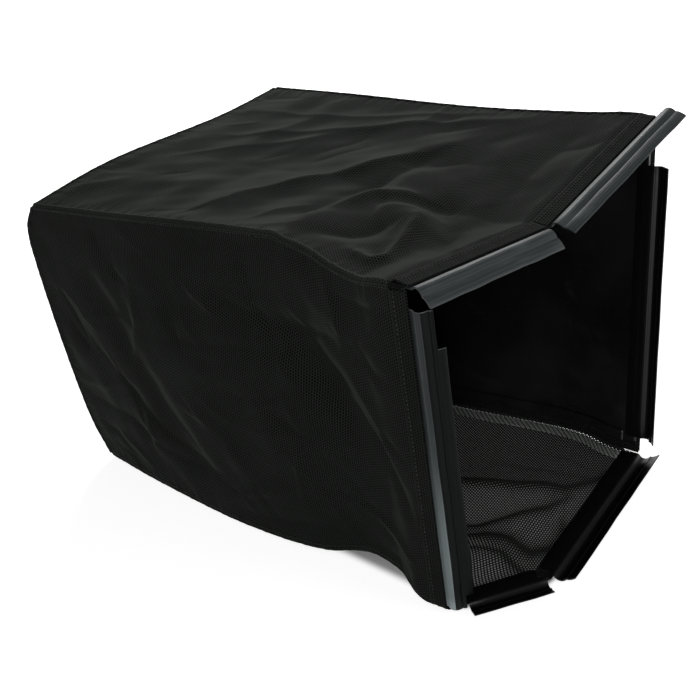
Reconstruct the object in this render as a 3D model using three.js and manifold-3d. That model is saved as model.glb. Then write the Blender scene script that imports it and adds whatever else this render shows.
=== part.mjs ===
// Grass collection bag of a walk-behind mower, without its frame: five sewn mesh panels, a coated liner,
// piped seams and a hemmed six-sided mouth edged with vinyl channels that clip over the rod of a frame.
// Millimetres, +Z up. The mouth faces -Y, and left and right are as seen by someone facing the mouth.
import * as THREE from "three";
import { mergeVertices } from "three/addons/utils/BufferGeometryUtils.js";
import Module from "manifold-3d";

// Bag body, measured at the seams
const BAG_LENGTH = 541; // rear seam to the upper corners of the mouth
const BAG_WIDTH = 372; // across the top at the rear
const BAG_HEIGHT = 340; // floor to the top seams
const FLOOR_WIDTH = 281; // across the bottom panel at the rear: the right side leans in
const WAIST_IN = 34; // the upper left seam is drawn in between frame corners
const WAIST_AT = 334; // distance of that waist from the rear
const SEAM_SAG = 6; // drop of the upper right seam midway
const REAR_BOW = 36; // the rear corners bow out behind the top seam
const REAR_CROWN = 14; // extra roundness of the rear panel between its corners
const REAR_ARCH = 4; // rise of the rear top seam on its left, and half as much drop on its right
const BELLY = 10; // outward swell of the side panels
const TOP_SLACK = 7; // sag of the top panel
const FOOT_FLARE = 11; // the lower left seam swells out past the upper one
const TUCK_IN = 16; // the diagonal fold draws the lower left seam in
const TUCK_UP = 12; // and lifts it
const TUCK_BEHIND_MOUTH = 105; // where it does so
const TUCK_LENGTH = 60; // from there back to where the seam is straight

// Mouth
const MOUTH_WIDTH = 370; // between its upper corners
const MOUTH_SHIFT = 10; // its middle lies to the right of the rear's middle
const MOUTH_FLOOR_WIDTH = 287; // between its lower corners
const MOUTH_RAKE_LEFT = 20; // lower left corner behind the upper one
const MOUTH_RAKE_RIGHT = -7; // lower right corner ahead of the upper one
const TOP_JOINT_ACROSS = 168; // from the upper left corner to the joint of the two top channels
const TOP_JOINT_OUT = 11;
const TOP_JOINT_DROP = 24;
const FLOOR_JOINT_ACROSS = 82; // from the lower left corner to the joint of the two bottom channels
const FLOOR_JOINT_OUT = 58;

// Cloth
const FABRIC = 1.5; // mesh cloth with its coating
const SEWING_GAP = 0.3; // clearance between layers that are sewn together
const SEAM_LIFT = 4.5; // height of the bottom seams above the floor, under the piping
const PIPING_RADIUS = 2.8;
const PIPING_OUT = 0.5; // its middle lies this far outside the seam line
const HEM_WIDTH = 15;
const HEM_THICKNESS = 1;
const LINER = 0.9;
const LINER_FOOT = 9; // lower edge of the liner above the floor
const LINER_BAND = 12; // its hem tape
const PANEL_EDGE = 1.7; // a panel stops this far from its seam line

// Vinyl channel, a constant section: sewing flange, rod seat, notch and spring lip
const FLANGE = 17;
const WALL = 1.5;
const ROD = 9.5; // frame rod that the seat takes
const ROD_PLAY = 0.6; // clearance round it
const LIP = 11;
const LIP_RISE = 2.6; // height of the lip's bead over the notch
// The lip's line from the notch to its edge, in shares of its length and of its rise
const LIP_LINE = [
  [0.28, 0.2],
  [0.52, 1],
  [0.76, 0.6],
  [1, -0.7],
];
const LIP_CUT_UPPER = 36; // the left channel's lip is cut back at its upper end
const LIP_CUT_LOWER = 15; // and at its lower end
const LIP_STUB = 4.4; // what a cut leaves of the lip, past the notch
const CHANNEL_GAP = 4; // a channel stops this far from the corner of the mouth
const TOP_OVERRUN = 10; // the upper right channel runs past its corner
const RIGHT_START = 48; // bare cloth above the right channel
const RIGHT_STOP = 18; // bare cloth below it

const DEGREE = Math.PI / 180;
// Lean of each channel's seat and lip towards the inside of the mouth, in degrees
const CHANNEL_TURN = {
  topLeft: 27,
  topRight: 4,
  left: 36,
  right: 24,
  bottomLeft: 8,
  bottomRight: 8,
};

const point = (x, y, z) => new THREE.Vector3(x, y, z);
const mix = (a, b, t) => a.clone().lerp(b, t);

// Corners of the seams
const half = BAG_WIDTH / 2;
const rearTopLeft = point(-half, 0, BAG_HEIGHT);
const rearTopRight = point(half, 0, BAG_HEIGHT);
const rearFootLeft = point(-half - FOOT_FLARE / 2, REAR_BOW / 2, SEAM_LIFT);
const rearFootRight = point(rearFootLeft.x + FLOOR_WIDTH, REAR_BOW / 4, SEAM_LIFT);
const mouthTopLeft = point(MOUTH_SHIFT - MOUTH_WIDTH / 2, -BAG_LENGTH, BAG_HEIGHT);
const mouthTopRight = point(MOUTH_SHIFT + MOUTH_WIDTH / 2, -BAG_LENGTH, BAG_HEIGHT);
const mouthFootLeft = point(-half, MOUTH_RAKE_LEFT - BAG_LENGTH, SEAM_LIFT);
const mouthFootRight = point(mouthFootLeft.x + MOUTH_FLOOR_WIDTH, MOUTH_RAKE_RIGHT - BAG_LENGTH, SEAM_LIFT);
const topJoint = mouthTopLeft.clone().add(point(TOP_JOINT_ACROSS, -TOP_JOINT_OUT, -TOP_JOINT_DROP));
const floorJoint = mouthFootLeft.clone().add(point(FLOOR_JOINT_ACROSS, -FLOOR_JOINT_OUT, 0));

// Seam lines. Each is a smooth curve through the corners and the few points that give it its slack.
const smooth = (...points) => new THREE.CatmullRomCurve3(points, false, "centripetal");
const waist = point(WAIST_IN - half, -WAIST_AT, BAG_HEIGHT - SEAM_SAG / 4);
const seamTopLeft = smooth(
  rearTopLeft,
  mix(rearTopLeft, waist, 0.4).add(point(WAIST_IN / 8, 0, 0)),
  waist,
  mix(waist, mouthTopLeft, 0.62).add(point(-WAIST_IN / 5, 0, -SEAM_SAG / 4)),
  mouthTopLeft,
);
const seamTopRight = smooth(
  rearTopRight,
  mix(rearTopRight, mouthTopRight, 0.25).add(point(0, 0, -SEAM_SAG / 4)),
  mix(rearTopRight, mouthTopRight, 0.62).add(point(0, 0, -SEAM_SAG)),
  mouthTopRight,
);
const seamTopRear = smooth(
  rearTopLeft,
  mix(rearTopLeft, rearTopRight, 0.3).add(point(0, REAR_BOW / 4, REAR_ARCH)),
  mix(rearTopLeft, rearTopRight, 0.76).add(point(0, 0, -REAR_ARCH / 2)),
  rearTopRight,
);
const bowedRear = (top, foot) =>
  smooth(
    top,
    mix(top, foot, 0.09).setY(REAR_BOW * 0.72),
    mix(top, foot, 0.25).setY(REAR_BOW),
    mix(top, foot, 0.85).setY(REAR_BOW),
    foot,
  );
const seamRearLeft = bowedRear(rearTopLeft, rearFootLeft);
const seamRearRight = bowedRear(rearTopRight, rearFootRight);
const [flareX, tuckX] = [-half - FOOT_FLARE, -half + TUCK_IN];
const seamFootLeft = smooth(
  rearFootLeft,
  mix(rearFootLeft, mouthFootLeft, 0.2).setX(flareX),
  mix(rearFootLeft, mouthFootLeft, 0.5).setX(flareX),
  point(-half, mouthFootLeft.y + TUCK_BEHIND_MOUTH + TUCK_LENGTH, SEAM_LIFT + TUCK_UP / 3),
  point(tuckX, mouthFootLeft.y + TUCK_BEHIND_MOUTH, SEAM_LIFT + TUCK_UP),
  mouthFootLeft,
);
const seamFootRight = smooth(
  rearFootRight,
  mix(rearFootRight, mouthFootRight, 0.5).add(point(-BELLY, 0, 0)),
  mix(rearFootRight, mouthFootRight, 0.86).add(point(BELLY, 0, 0)),
  mouthFootRight,
);
const seamFootRear = smooth(
  rearFootLeft,
  mix(rearFootLeft, rearFootRight, 0.5).add(point(0, REAR_CROWN, 0)),
  rearFootRight,
);

// A run of straight lines, with its corner kept at the given share of its length
function polyline(...points) {
  const path = new THREE.CurvePath();
  points.slice(1).forEach((p, i) => path.add(new THREE.LineCurve3(points[i], p)));
  return path;
}
const mouthTop = polyline(mouthTopLeft, topJoint, mouthTopRight);
const mouthLeft = polyline(mouthTopLeft, mouthFootLeft);
const mouthRight = polyline(mouthTopRight, mouthFootRight);
const mouthFloor = polyline(mouthFootLeft, floorJoint, mouthFootRight);
const topJointShare = topJoint.distanceTo(mouthTopLeft) / mouthTop.getLength();
const floorJointShare = floorJoint.distanceTo(mouthFootLeft) / mouthFloor.getLength();

// Soft folds: each ridge or valley runs between two places on a panel, given as the distance from the
// rear and the distance from the panel's first side seam.
const foldHeight = (p, q, folds) =>
  folds.reduce((sum, { from, to, height, width }) => {
    const run = new THREE.Vector2(to[0] - from[0], to[1] - from[1]);
    const rel = new THREE.Vector2(p - from[0], q - from[1]);
    const along = THREE.MathUtils.clamp(rel.dot(run) / run.lengthSq(), 0, 1);
    const off = rel.addScaledVector(run, -along).length();
    return sum + height * Math.exp(-((off / width) ** 2));
  }, 0);
const TOP_FOLDS = [
  { from: [430, 112], to: [497, 62], height: 11, width: 24 },
  { from: [345, 60], to: [350, 190], height: 7, width: 34 },
  { from: [300, 40], to: [420, 170], height: -5, width: 20 },
];
const LEFT_FOLDS = [
  { from: [388, 95], to: [490, 250], height: -10, width: 26 },
  { from: [392, 22], to: [450, 70], height: 6, width: 18 },
  { from: [230, 90], to: [360, 92], height: -4, width: 16 },
  { from: [95, 90], to: [215, 280], height: -5, width: 20 },
];

// Smooth hump: 0 at both ends, 1 in the middle
const hump = (t) => (1 - Math.cos(2 * Math.PI * THREE.MathUtils.clamp(t, 0, 1))) / 2;
// The last stretch before the mouth runs straight forward, because the channel's flat flange is sewn to
// it, and everything soft dies out there.
const forward = point(0, -1, 0);
const flatShare = (FLANGE + 6) / BAG_LENGTH;
const softStop = 1 - 3 * flatShare;
const alongHump = (s) => hump(s / (1 - flatShare));
function straighten(p, mouthPoint, s) {
  const straight = mouthPoint.clone().addScaledVector(forward, (s - 1) * BAG_LENGTH);
  return p.lerp(straight, THREE.MathUtils.smoothstep(s, softStop, 1 - flatShare));
}

// Folds die out towards a panel's seams this steeply: a power across it, and a factor along it.
const CALM_EDGE = 0.6;
const CALM_END = 4;

// A panel is stretched between four seam lines. side0 and side1 run from the rear to the mouth, ends run
// across. Its slack and folds move it along one direction.
function panel({ side0, side1, end0, end1, out, slack = () => 0, folds = [], width }) {
  const [p00, p01] = [end0.getPointAt(0), end0.getPointAt(1)];
  const [p10, p11] = [end1.getPointAt(0), end1.getPointAt(1)];
  return (s, t) => {
    const sides = mix(side0.getPointAt(s), side1.getPointAt(s), t);
    const mouthPoint = end1.getPointAt(t);
    const ends = mix(end0.getPointAt(t), mouthPoint, s);
    const corners = mix(mix(p00, p01, t), mix(p10, p11, t), s);
    const calm = Math.sin(Math.PI * t) ** CALM_EDGE * Math.min(1, CALM_END * alongHump(s));
    const push = slack(s, t) + calm * foldHeight(s * BAG_LENGTH, t * width, folds);
    return straighten(sides.add(ends).sub(corners).addScaledVector(out, push), mouthPoint, s);
  };
}

const up = point(0, 0, 1);
const left = point(-1, 0, 0);
const right = point(1, 0, 0);
const back = point(0, 1, 0);
const crown = (amount) => (s, t) => amount * alongHump(s) * Math.sin(Math.PI * t);
// The bottom panel hangs down to the floor and lies flat on it, but for a margin along its seams.
const FLOOR_MARGIN = 0.16;
const ramp = (t) => THREE.MathUtils.smoothstep(Math.min(t, 1 - t), 0, FLOOR_MARGIN);

const topSurface = panel({
  side0: seamTopLeft,
  side1: seamTopRight,
  end0: seamTopRear,
  end1: mouthTop,
  out: up,
  slack: crown(-TOP_SLACK),
  folds: TOP_FOLDS,
  width: BAG_WIDTH,
});
const leftSurface = panel({
  side0: seamTopLeft,
  side1: seamFootLeft,
  end0: seamRearLeft,
  end1: mouthLeft,
  out: left,
  slack: crown(BELLY),
  folds: LEFT_FOLDS,
  width: BAG_HEIGHT,
});
const rightSurface = panel({
  side0: seamTopRight,
  side1: seamFootRight,
  end0: seamRearRight,
  end1: mouthRight,
  out: right,
  slack: crown(BELLY),
});
const floorRaw = panel({
  side0: seamFootLeft,
  side1: seamFootRight,
  end0: seamFootRear,
  end1: mouthFloor,
  out: up,
});
const floorSurface = (s, t) => {
  const p = floorRaw(s, t);
  const flat = ramp(t) * ramp(s / (1 - flatShare));
  return p.setZ(THREE.MathUtils.lerp(p.z, FABRIC / 2, flat));
};
// The rear panel's s runs from the top seam down.
const rearSurface = (s, t) => {
  const top = seamTopRear.getPointAt(t);
  const foot = seamFootRear.getPointAt(t);
  const sides = mix(seamRearLeft.getPointAt(s), seamRearRight.getPointAt(s), t);
  const corners = mix(mix(rearTopLeft, rearTopRight, t), mix(rearFootLeft, rearFootRight, t), s);
  return sides
    .add(mix(top, foot, s))
    .sub(corners)
    .addScaledVector(back, REAR_CROWN * hump(s) * Math.sin(Math.PI * t));
};

// Outward normal of a surface. turn is 1 where ds x dt points out of the bag, and -1 where it points in.
const STEP = 1e-3;
function normalOf(surface, s, t, turn) {
  const inside = (x) => THREE.MathUtils.clamp(x, 0, 1);
  const ds = surface(inside(s + STEP), t).sub(surface(inside(s - STEP), t));
  const dt = surface(s, inside(t + STEP)).sub(surface(s, inside(t - STEP)));
  return ds.cross(dt).normalize().multiplyScalar(turn);
}

// Evenly spread stations from a to b
const spread = (a, b, n) => Array.from({ length: n + 1 }, (_, i) => THREE.MathUtils.lerp(a, b, i / n));
const spreadVia = (a, corner, b, n) => [
  ...spread(a, corner, Math.round((n * (corner - a)) / (b - a))),
  ...spread(corner, b, Math.round((n * (b - corner)) / (b - a))).slice(1),
];

// A layer of cloth: the closed solid between two offsets of a surface, over the stations given
function layer(surface, turn, ss, ts, low, high) {
  const count = ss.length * ts.length;
  const outer = [];
  const inner = [];
  ss.forEach((s) =>
    ts.forEach((t) => {
      const p = surface(s, t);
      const n = normalOf(surface, s, t, turn);
      outer.push(p.clone().addScaledVector(n, high));
      inner.push(p.clone().addScaledVector(n, low));
    }),
  );
  const at = (i, j) => i * ts.length + j;
  const index = [];
  const quad = (a, b, c, d) => (turn > 0 ? index.push(a, b, c, a, c, d) : index.push(a, c, b, a, d, c));
  for (let i = 0; i < ss.length - 1; i++)
    for (let j = 0; j < ts.length - 1; j++) {
      const [a, b, c, d] = [at(i, j), at(i + 1, j), at(i + 1, j + 1), at(i, j + 1)];
      quad(a, b, c, d);
      quad(count + a, count + d, count + c, count + b);
    }
  const lastS = ss.length - 1;
  const lastT = ts.length - 1;
  for (let i = 0; i < lastS; i++) {
    quad(at(i, 0), count + at(i, 0), count + at(i + 1, 0), at(i + 1, 0));
    quad(at(i, lastT), at(i + 1, lastT), count + at(i + 1, lastT), count + at(i, lastT));
  }
  for (let j = 0; j < lastT; j++) {
    quad(at(0, j), at(0, j + 1), count + at(0, j + 1), count + at(0, j));
    quad(at(lastS, j), count + at(lastS, j), count + at(lastS, j + 1), at(lastS, j + 1));
  }
  return new THREE.BufferGeometry().setFromPoints([...outer, ...inner]).setIndex(index);
}

// Channel section, x forward out of the mouth and y outward, with the cloth's edge at the origin. The
// flange lies flat under the cloth, and the seat and lip lean towards the inside of the mouth from there.
const SEAT_RADIUS = ROD / 2 + ROD_PLAY + WALL / 2; // to the middle of the wall
const SEAT_ROOT = 1.2; // flat between the cloth's edge and the seat
const FLANGE_Y = -(FABRIC / 2 + 2 * SEWING_GAP + WALL / 2);
const SEAT_START = 170 * DEGREE;
const SEAT_END = 8 * DEGREE;
const SEAT_STEPS = 9;
const SEAT_FLATNESS = 0.9;
const NOTCH_X = SEAT_ROOT + SEAT_RADIUS * (1 + Math.cos(SEAT_END));
const leaned = (p, lean) => p.rotateAround(new THREE.Vector2(0, FLANGE_Y), -lean * DEGREE);
function channelSection(lean) {
  const seat = spread(SEAT_START, SEAT_END, SEAT_STEPS).map((a) => {
    const x = SEAT_ROOT + SEAT_RADIUS * (1 + Math.cos(a));
    return new THREE.Vector2(x, FLANGE_Y + SEAT_FLATNESS * SEAT_RADIUS * Math.sin(a));
  });
  const notch = seat.at(-1);
  const lip = LIP_LINE.map(([x, y]) => new THREE.Vector2(notch.x + x * LIP, notch.y + y * LIP_RISE));
  const flange = [new THREE.Vector2(-FLANGE, FLANGE_Y), new THREE.Vector2(0, FLANGE_Y)];
  const line = [...flange, ...[...seat, ...lip].map((p) => leaned(p, lean))];
  // The wall stands half its thickness to each side of that line.
  const side = (sign) =>
    line.map((p, i) => {
      const before = line[Math.max(0, i - 1)];
      const after = line[Math.min(line.length - 1, i + 1)];
      const d = after.clone().sub(before).normalize();
      return p.clone().add(new THREE.Vector2(-d.y, d.x).multiplyScalar((sign * WALL) / 2));
    });
  return [...side(-1), ...side(1).reverse()];
}

const wasm = await Module();
wasm.setup();
function solid(geometry) {
  const bare = geometry.clone();
  bare.deleteAttribute("normal");
  bare.deleteAttribute("uv");
  const merged = mergeVertices(bare, 1e-4);
  return new wasm.Manifold(
    new wasm.Mesh({
      numProp: 3,
      vertProperties: merged.attributes.position.array,
      triVerts: new Uint32Array(merged.index.array),
    }),
  );
}
function cut(geometry, ...tools) {
  const made = tools.reduce((body, tool) => body.subtract(solid(tool)), solid(geometry));
  const mesh = made.getMesh();
  return new THREE.BufferGeometry()
    .setAttribute("position", new THREE.BufferAttribute(mesh.vertProperties, 3))
    .setIndex(new THREE.BufferAttribute(mesh.triVerts, 1));
}

// Piping: a round welt over the seam between two panels, cut out where the panels' edges enter it. Each
// panel is given with what lies behind its face and with the way its stations run along the seam.
const NORMAL_AT = 0.02;
function piping(panelA, wayA, panelB, wayB, [from, to], steps) {
  const path = spread(from, to, steps).map((u) => {
    const out = normalOf(panelA.surface, ...wayA(u, NORMAL_AT), panelA.turn)
      .add(normalOf(panelB.surface, ...wayB(u, NORMAL_AT), panelB.turn))
      .normalize();
    return panelA.surface(...wayA(u, 0)).addScaledVector(out, PIPING_OUT);
  });
  const ring = new THREE.Shape().absarc(0, 0, PIPING_RADIUS, 0, 2 * Math.PI);
  const cord = new THREE.ExtrudeGeometry(ring, {
    extrudePath: new THREE.CatmullRomCurve3(path, false, "centripetal"),
    steps,
    curveSegments: 4,
    bevelEnabled: false,
  });
  return cut(cord, panelA.behind, panelB.behind);
}

const bag = new THREE.Group();
const cloth = (color) => new THREE.MeshStandardMaterial({ color, roughness: 0.85, metalness: 0 });
const vinyl = () => new THREE.MeshStandardMaterial({ color: 0x3a3f3d, roughness: 0.38, metalness: 0 });
const add = (name, geometry, material) => {
  const mesh = new THREE.Mesh(geometry, material);
  mesh.name = name;
  bag.add(mesh);
  return mesh;
};

// A channel runs straight from a to b along the mouth's edge. Its lip and its flange may be cut back
// near its two ends.
function channel(name, { face, share, a, b, gaps, lean, lipCuts = [0, 0], flangeCuts = [0, 0] }) {
  const run = b.clone().sub(a).normalize();
  const ahead = forward.clone().addScaledVector(run, -forward.dot(run)).normalize();
  const across = run.clone().cross(ahead);
  const flip = Math.sign(across.dot(normalOf(face[0], 1 - STEP, share, face[1])));
  const length = a.distanceTo(b) - gaps[0] - gaps[1];
  const points = channelSection(lean).map((p) => p.setY(flip * p.y));
  const body = new THREE.ExtrudeGeometry(new THREE.Shape(points), { depth: length, bevelEnabled: false });
  const reach = 2 * (LIP + ROD);
  const ends = (amounts) =>
    [
      [-1, amounts[0]],
      [length - amounts[1], length + 1],
    ].filter((_, i) => amounts[i] > 0);
  const tools = [
    ...ends(lipCuts).map(([z0, z1]) => {
      const box = new THREE.BoxGeometry(reach, reach, z1 - z0);
      box.translate(NOTCH_X + LIP_STUB + reach / 2, -flip * FLANGE_Y, (z0 + z1) / 2);
      box.rotateZ(-flip * lean * DEGREE);
      return box.translate(0, flip * FLANGE_Y, 0);
    }),
    ...ends(flangeCuts).map(([z0, z1]) =>
      new THREE.BoxGeometry(reach, reach, z1 - z0).translate(-WALL - reach / 2, 0, (z0 + z1) / 2),
    ),
  ];
  const mesh = add(name, tools.length ? cut(body, ...tools) : body, vinyl());
  mesh.position.copy(a).addScaledVector(run, gaps[0]);
  mesh.quaternion.setFromRotationMatrix(new THREE.Matrix4().makeBasis(ahead, across, run));
}

// Panels
const sEdge = PANEL_EDGE / BAG_LENGTH;
const tEdge = PANEL_EDGE / BAG_HEIGHT;
const hemShare = (HEM_WIDTH + PANEL_EDGE) / BAG_LENGTH;
const linerStop = 1 - (FLANGE + 2 * PANEL_EDGE) / BAG_LENGTH;
const along = [
  ...spread(sEdge, softStop, 16),
  ...spread(softStop, linerStop, 5).slice(1),
  1 - hemShare,
  1 - sEdge,
];
const within = (list, from, to) => [from, ...list.filter((x) => x > from + STEP && x < to - STEP), to];
const topFace = [topSurface, 1];
const leftFace = [leftSurface, -1];
const rightFace = [rightSurface, 1];
const floorFace = [floorSurface, -1];
const rearFace = [rearSurface, -1];
const seatShare = SEWING_GAP / BAG_HEIGHT;
const widened = (list) => [list[0] - seatShare, ...list.slice(1, -1), list.at(-1) + seatShare];
function addPanel(name, [surface, turn], ss, ts) {
  add(name, layer(surface, turn, ss, ts, -FABRIC / 2, FABRIC / 2), cloth(0x191c1a));
  const [low, high] = [-2 * PIPING_RADIUS, FABRIC / 2 + SEWING_GAP];
  return { surface, turn, behind: layer(surface, turn, widened(ss), widened(ts), low, high) };
}
const rightDown = spread(tEdge, 1 - tEdge, 10);
const topAcross = spreadVia(tEdge, topJointShare, 1 - tEdge, 14);
const floorAcross = spreadVia(tEdge, floorJointShare, 1 - tEdge, 12);
const topPanel = addPanel("top_panel", topFace, along, topAcross);
const leftPanel = addPanel("side_panel_left", leftFace, along, spread(tEdge, 1 - tEdge, 13));
const rightPanel = addPanel("side_panel_right", rightFace, along, rightDown);
const floorPanel = addPanel("bottom_panel", floorFace, along, floorAcross);
const rearDown = spread(tEdge, 1 - tEdge, 20);
const rearPanel = addPanel("rear_panel", rearFace, rearDown, spread(tEdge, 1 - tEdge, 12));

// Coated liner on the inner face of the right panel, with its hem tape
const linerHigh = -FABRIC / 2 - SEWING_GAP;
const linerFoot = 1 - LINER_FOOT / BAG_HEIGHT;
const linerAlong = within(along, 3 * sEdge, linerStop);
const linerDown = within(rightDown, 3 * tEdge, linerFoot);
add("side_liner", layer(...rightFace, linerAlong, linerDown, linerHigh - LINER, linerHigh), cloth(0x0b0c0c));
const tapeHigh = linerHigh - LINER - SEWING_GAP;
const tapeDown = within(rightDown, linerFoot - LINER_BAND / BAG_HEIGHT, linerFoot);
add("liner_hem", layer(...rightFace, linerAlong, tapeDown, tapeHigh - HEM_THICKNESS, tapeHigh), cloth(0x161817));

// Hems of the mouth, on the outside of each panel
const hemLow = FABRIC / 2 + SEWING_GAP;
const hemAlong = [1 - hemShare, 1 - sEdge];
const hem = (name, face, t0, t1, n) =>
  add(name, layer(...face, hemAlong, spread(t0, t1, n), hemLow, hemLow + HEM_THICKNESS), cloth(0x141615));
const jointGap = tEdge / 2;
hem("hem_top_left", topFace, 2 * tEdge, topJointShare - jointGap, 5);
hem("hem_top_right", topFace, topJointShare + jointGap, 1 - 2 * tEdge, 6);
hem("hem_left", leftFace, 2 * tEdge, 1 - 2 * tEdge, 8);
hem("hem_right", rightFace, 2 * tEdge, 1 - 2 * tEdge, 8);
hem("hem_bottom_left", floorFace, 2 * tEdge, floorJointShare - jointGap, 4);
hem("hem_bottom_right", floorFace, floorJointShare + jointGap, 1 - 2 * tEdge, 6);

// Piped seams
const first = (u, depth) => [u, depth];
const last = (u, depth) => [u, 1 - depth];
const rearEnd = (u, depth) => [depth, u];
const footEnd = (u, depth) => [1 - depth, u];
const ends = (PIPING_RADIUS * 2 + FABRIC) / BAG_HEIGHT;
const lengthwise = [ends, 1 - hemShare - sEdge];
const crosswise = [ends, 1 - ends];
const pipe = (name, ...seam) => add(name, piping(...seam), cloth(0x1b1e1c));
pipe("piping_top_left", topPanel, first, leftPanel, first, lengthwise, 26);
pipe("piping_top_right", topPanel, last, rightPanel, first, lengthwise, 18);
pipe("piping_bottom_left", floorPanel, first, leftPanel, last, lengthwise, 34);
pipe("piping_bottom_right", floorPanel, last, rightPanel, last, lengthwise, 24);
pipe("piping_top_rear", topPanel, rearEnd, rearPanel, rearEnd, crosswise, 14);
pipe("piping_bottom_rear", floorPanel, rearEnd, rearPanel, footEnd, crosswise, 12);
pipe("piping_rear_left", leftPanel, rearEnd, rearPanel, first, crosswise, 26);
pipe("piping_rear_right", rightPanel, rearEnd, rearPanel, last, crosswise, 26);

// Vinyl channels. The side channels start below the lips of the top ones, and the flanges of the bottom
// ones are cut back where they would cross behind their joint.
const underLip = ROD + LIP;
channel("channel_top_left", {
  face: topFace,
  share: topJointShare / 2,
  a: mouthTopLeft,
  b: topJoint,
  gaps: [CHANNEL_GAP, CHANNEL_GAP],
  lean: CHANNEL_TURN.topLeft,
});
channel("channel_top_right", {
  face: topFace,
  share: (1 + topJointShare) / 2,
  a: topJoint,
  b: mouthTopRight,
  gaps: [CHANNEL_GAP, -TOP_OVERRUN],
  lean: CHANNEL_TURN.topRight,
  flangeCuts: [0, TOP_OVERRUN + CHANNEL_GAP],
});
channel("channel_left", {
  face: leftFace,
  share: 0.5,
  a: mouthTopLeft,
  b: mouthFootLeft,
  gaps: [underLip, CHANNEL_GAP],
  lean: CHANNEL_TURN.left,
  lipCuts: [LIP_CUT_UPPER, LIP_CUT_LOWER],
});
channel("channel_right", {
  face: rightFace,
  share: 0.5,
  a: mouthTopRight,
  b: mouthFootRight,
  gaps: [RIGHT_START, RIGHT_STOP],
  lean: CHANNEL_TURN.right,
});
const floorTurn = floorJoint.clone().sub(mouthFootLeft).angleTo(mouthFootRight.clone().sub(floorJoint));
const flangeBack = FLANGE * Math.tan(floorTurn / 2);
channel("channel_bottom_left", {
  face: floorFace,
  share: floorJointShare / 2,
  a: mouthFootLeft,
  b: floorJoint,
  gaps: [underLip, CHANNEL_GAP],
  lean: CHANNEL_TURN.bottomLeft,
  flangeCuts: [0, flangeBack],
});
channel("channel_bottom_right", {
  face: floorFace,
  share: (1 + floorJointShare) / 2,
  a: floorJoint,
  b: mouthFootRight,
  gaps: [CHANNEL_GAP, CHANNEL_GAP],
  lean: CHANNEL_TURN.bottomRight,
  flangeCuts: [flangeBack, 0],
});

// The origin is the middle of the outline on the floor.
const box = new THREE.Box3().setFromObject(bag);
const middle = box.getCenter(new THREE.Vector3());
bag.position.set(-middle.x, -middle.y, -box.min.z);
const part = new THREE.Group();
part.add(bag);

export default part;
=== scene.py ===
import math

import bpy
import numpy as np
from mathutils import Matrix, Vector


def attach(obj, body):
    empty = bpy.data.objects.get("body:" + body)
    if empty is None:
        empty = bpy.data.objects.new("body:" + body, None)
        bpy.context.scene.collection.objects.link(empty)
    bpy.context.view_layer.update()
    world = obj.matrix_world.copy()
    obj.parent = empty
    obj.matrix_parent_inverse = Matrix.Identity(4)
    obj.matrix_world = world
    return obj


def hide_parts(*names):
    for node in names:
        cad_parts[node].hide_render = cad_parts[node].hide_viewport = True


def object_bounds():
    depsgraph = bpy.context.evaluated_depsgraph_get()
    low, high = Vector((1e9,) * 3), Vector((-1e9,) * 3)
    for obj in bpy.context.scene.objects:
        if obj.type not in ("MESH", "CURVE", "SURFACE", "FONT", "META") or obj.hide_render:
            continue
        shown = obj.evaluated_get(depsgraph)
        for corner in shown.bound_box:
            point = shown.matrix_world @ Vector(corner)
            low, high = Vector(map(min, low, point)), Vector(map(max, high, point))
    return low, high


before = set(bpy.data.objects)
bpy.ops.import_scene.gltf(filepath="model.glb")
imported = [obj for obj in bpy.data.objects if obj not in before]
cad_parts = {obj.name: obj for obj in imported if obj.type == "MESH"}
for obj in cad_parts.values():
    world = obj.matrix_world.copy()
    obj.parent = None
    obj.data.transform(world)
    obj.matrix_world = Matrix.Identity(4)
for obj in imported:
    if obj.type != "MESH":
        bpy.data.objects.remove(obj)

bl_info = {
    "name": "Mower grass bag",
    "version": (1, 0, 0),
    "blender": (4, 5, 0),
    "location": "View3D > Sidebar > Grass bag",
    "description": "Dresses the packed grass collection bag: mesh panels, welts, hems, liner and channels",
    "category": "Object",
}

CAD_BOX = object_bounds()

# The bag's own measures, in millimetres, as its solids have them. The rear top seam is at y 0 and the mouth
# faces -y; SHIFT takes these places to the row frame.
MM = 0.001
SHIFT = np.array((-2.633, 268.405, 0.0))
BAG_LENGTH, BAG_WIDTH, BAG_HEIGHT = 541, 372, 340
FLOOR_WIDTH = 281
WAIST_IN, WAIST_AT = 34, 334
SEAM_SAG = 6
REAR_BOW, REAR_CROWN, REAR_ARCH = 36, 14, 4
BELLY = 10
TOP_SLACK = 7
FOOT_FLARE = 11
TUCK_IN, TUCK_UP, TUCK_LENGTH = 16, 12, 60
TUCK_BEHIND_MOUTH = 105
MOUTH_WIDTH, MOUTH_SHIFT = 370, 10
MOUTH_FLOOR_WIDTH = 287
MOUTH_RAKE_LEFT, MOUTH_RAKE_RIGHT = 20, -7
TOP_JOINT = (168, -11, -24)
FLOOR_JOINT = (82, -58, 0)
FABRIC = 1.5
SEWING_GAP = 0.3
SEAM_LIFT = 4.5
LINER_FOOT, LINER_BAND = 9, 12
SEAM_TAPE = 11
FLANGE = 17
WALL = 1.5
ROD, ROD_PLAY = 9.5, 0.6
LIP = 11
LIP_CUTS = (36, 15)
LIP_STUB = 4.4
CHANNEL_GAP = 4
TOP_OVERRUN = 10
RIGHT_GAPS = (48, 18)
LEAN = {"top_left": 27, "top_right": 4, "left": 36, "right": 24, "bottom_left": 8, "bottom_right": 8}
# Shown cloth stops this far short of a seam line, and the welt closes the rest.
CLOTH_EDGE = 0.6
TURN = 2 * math.pi


# Seam lines


def place(*xyz):
    return np.array(xyz, float)


def mix(a, b, share):
    return a + (b - a) * share


def smoothstep(x, low, high):
    t = np.clip((x - low) / (high - low), 0, 1)
    return t * t * (3 - 2 * t)


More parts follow.
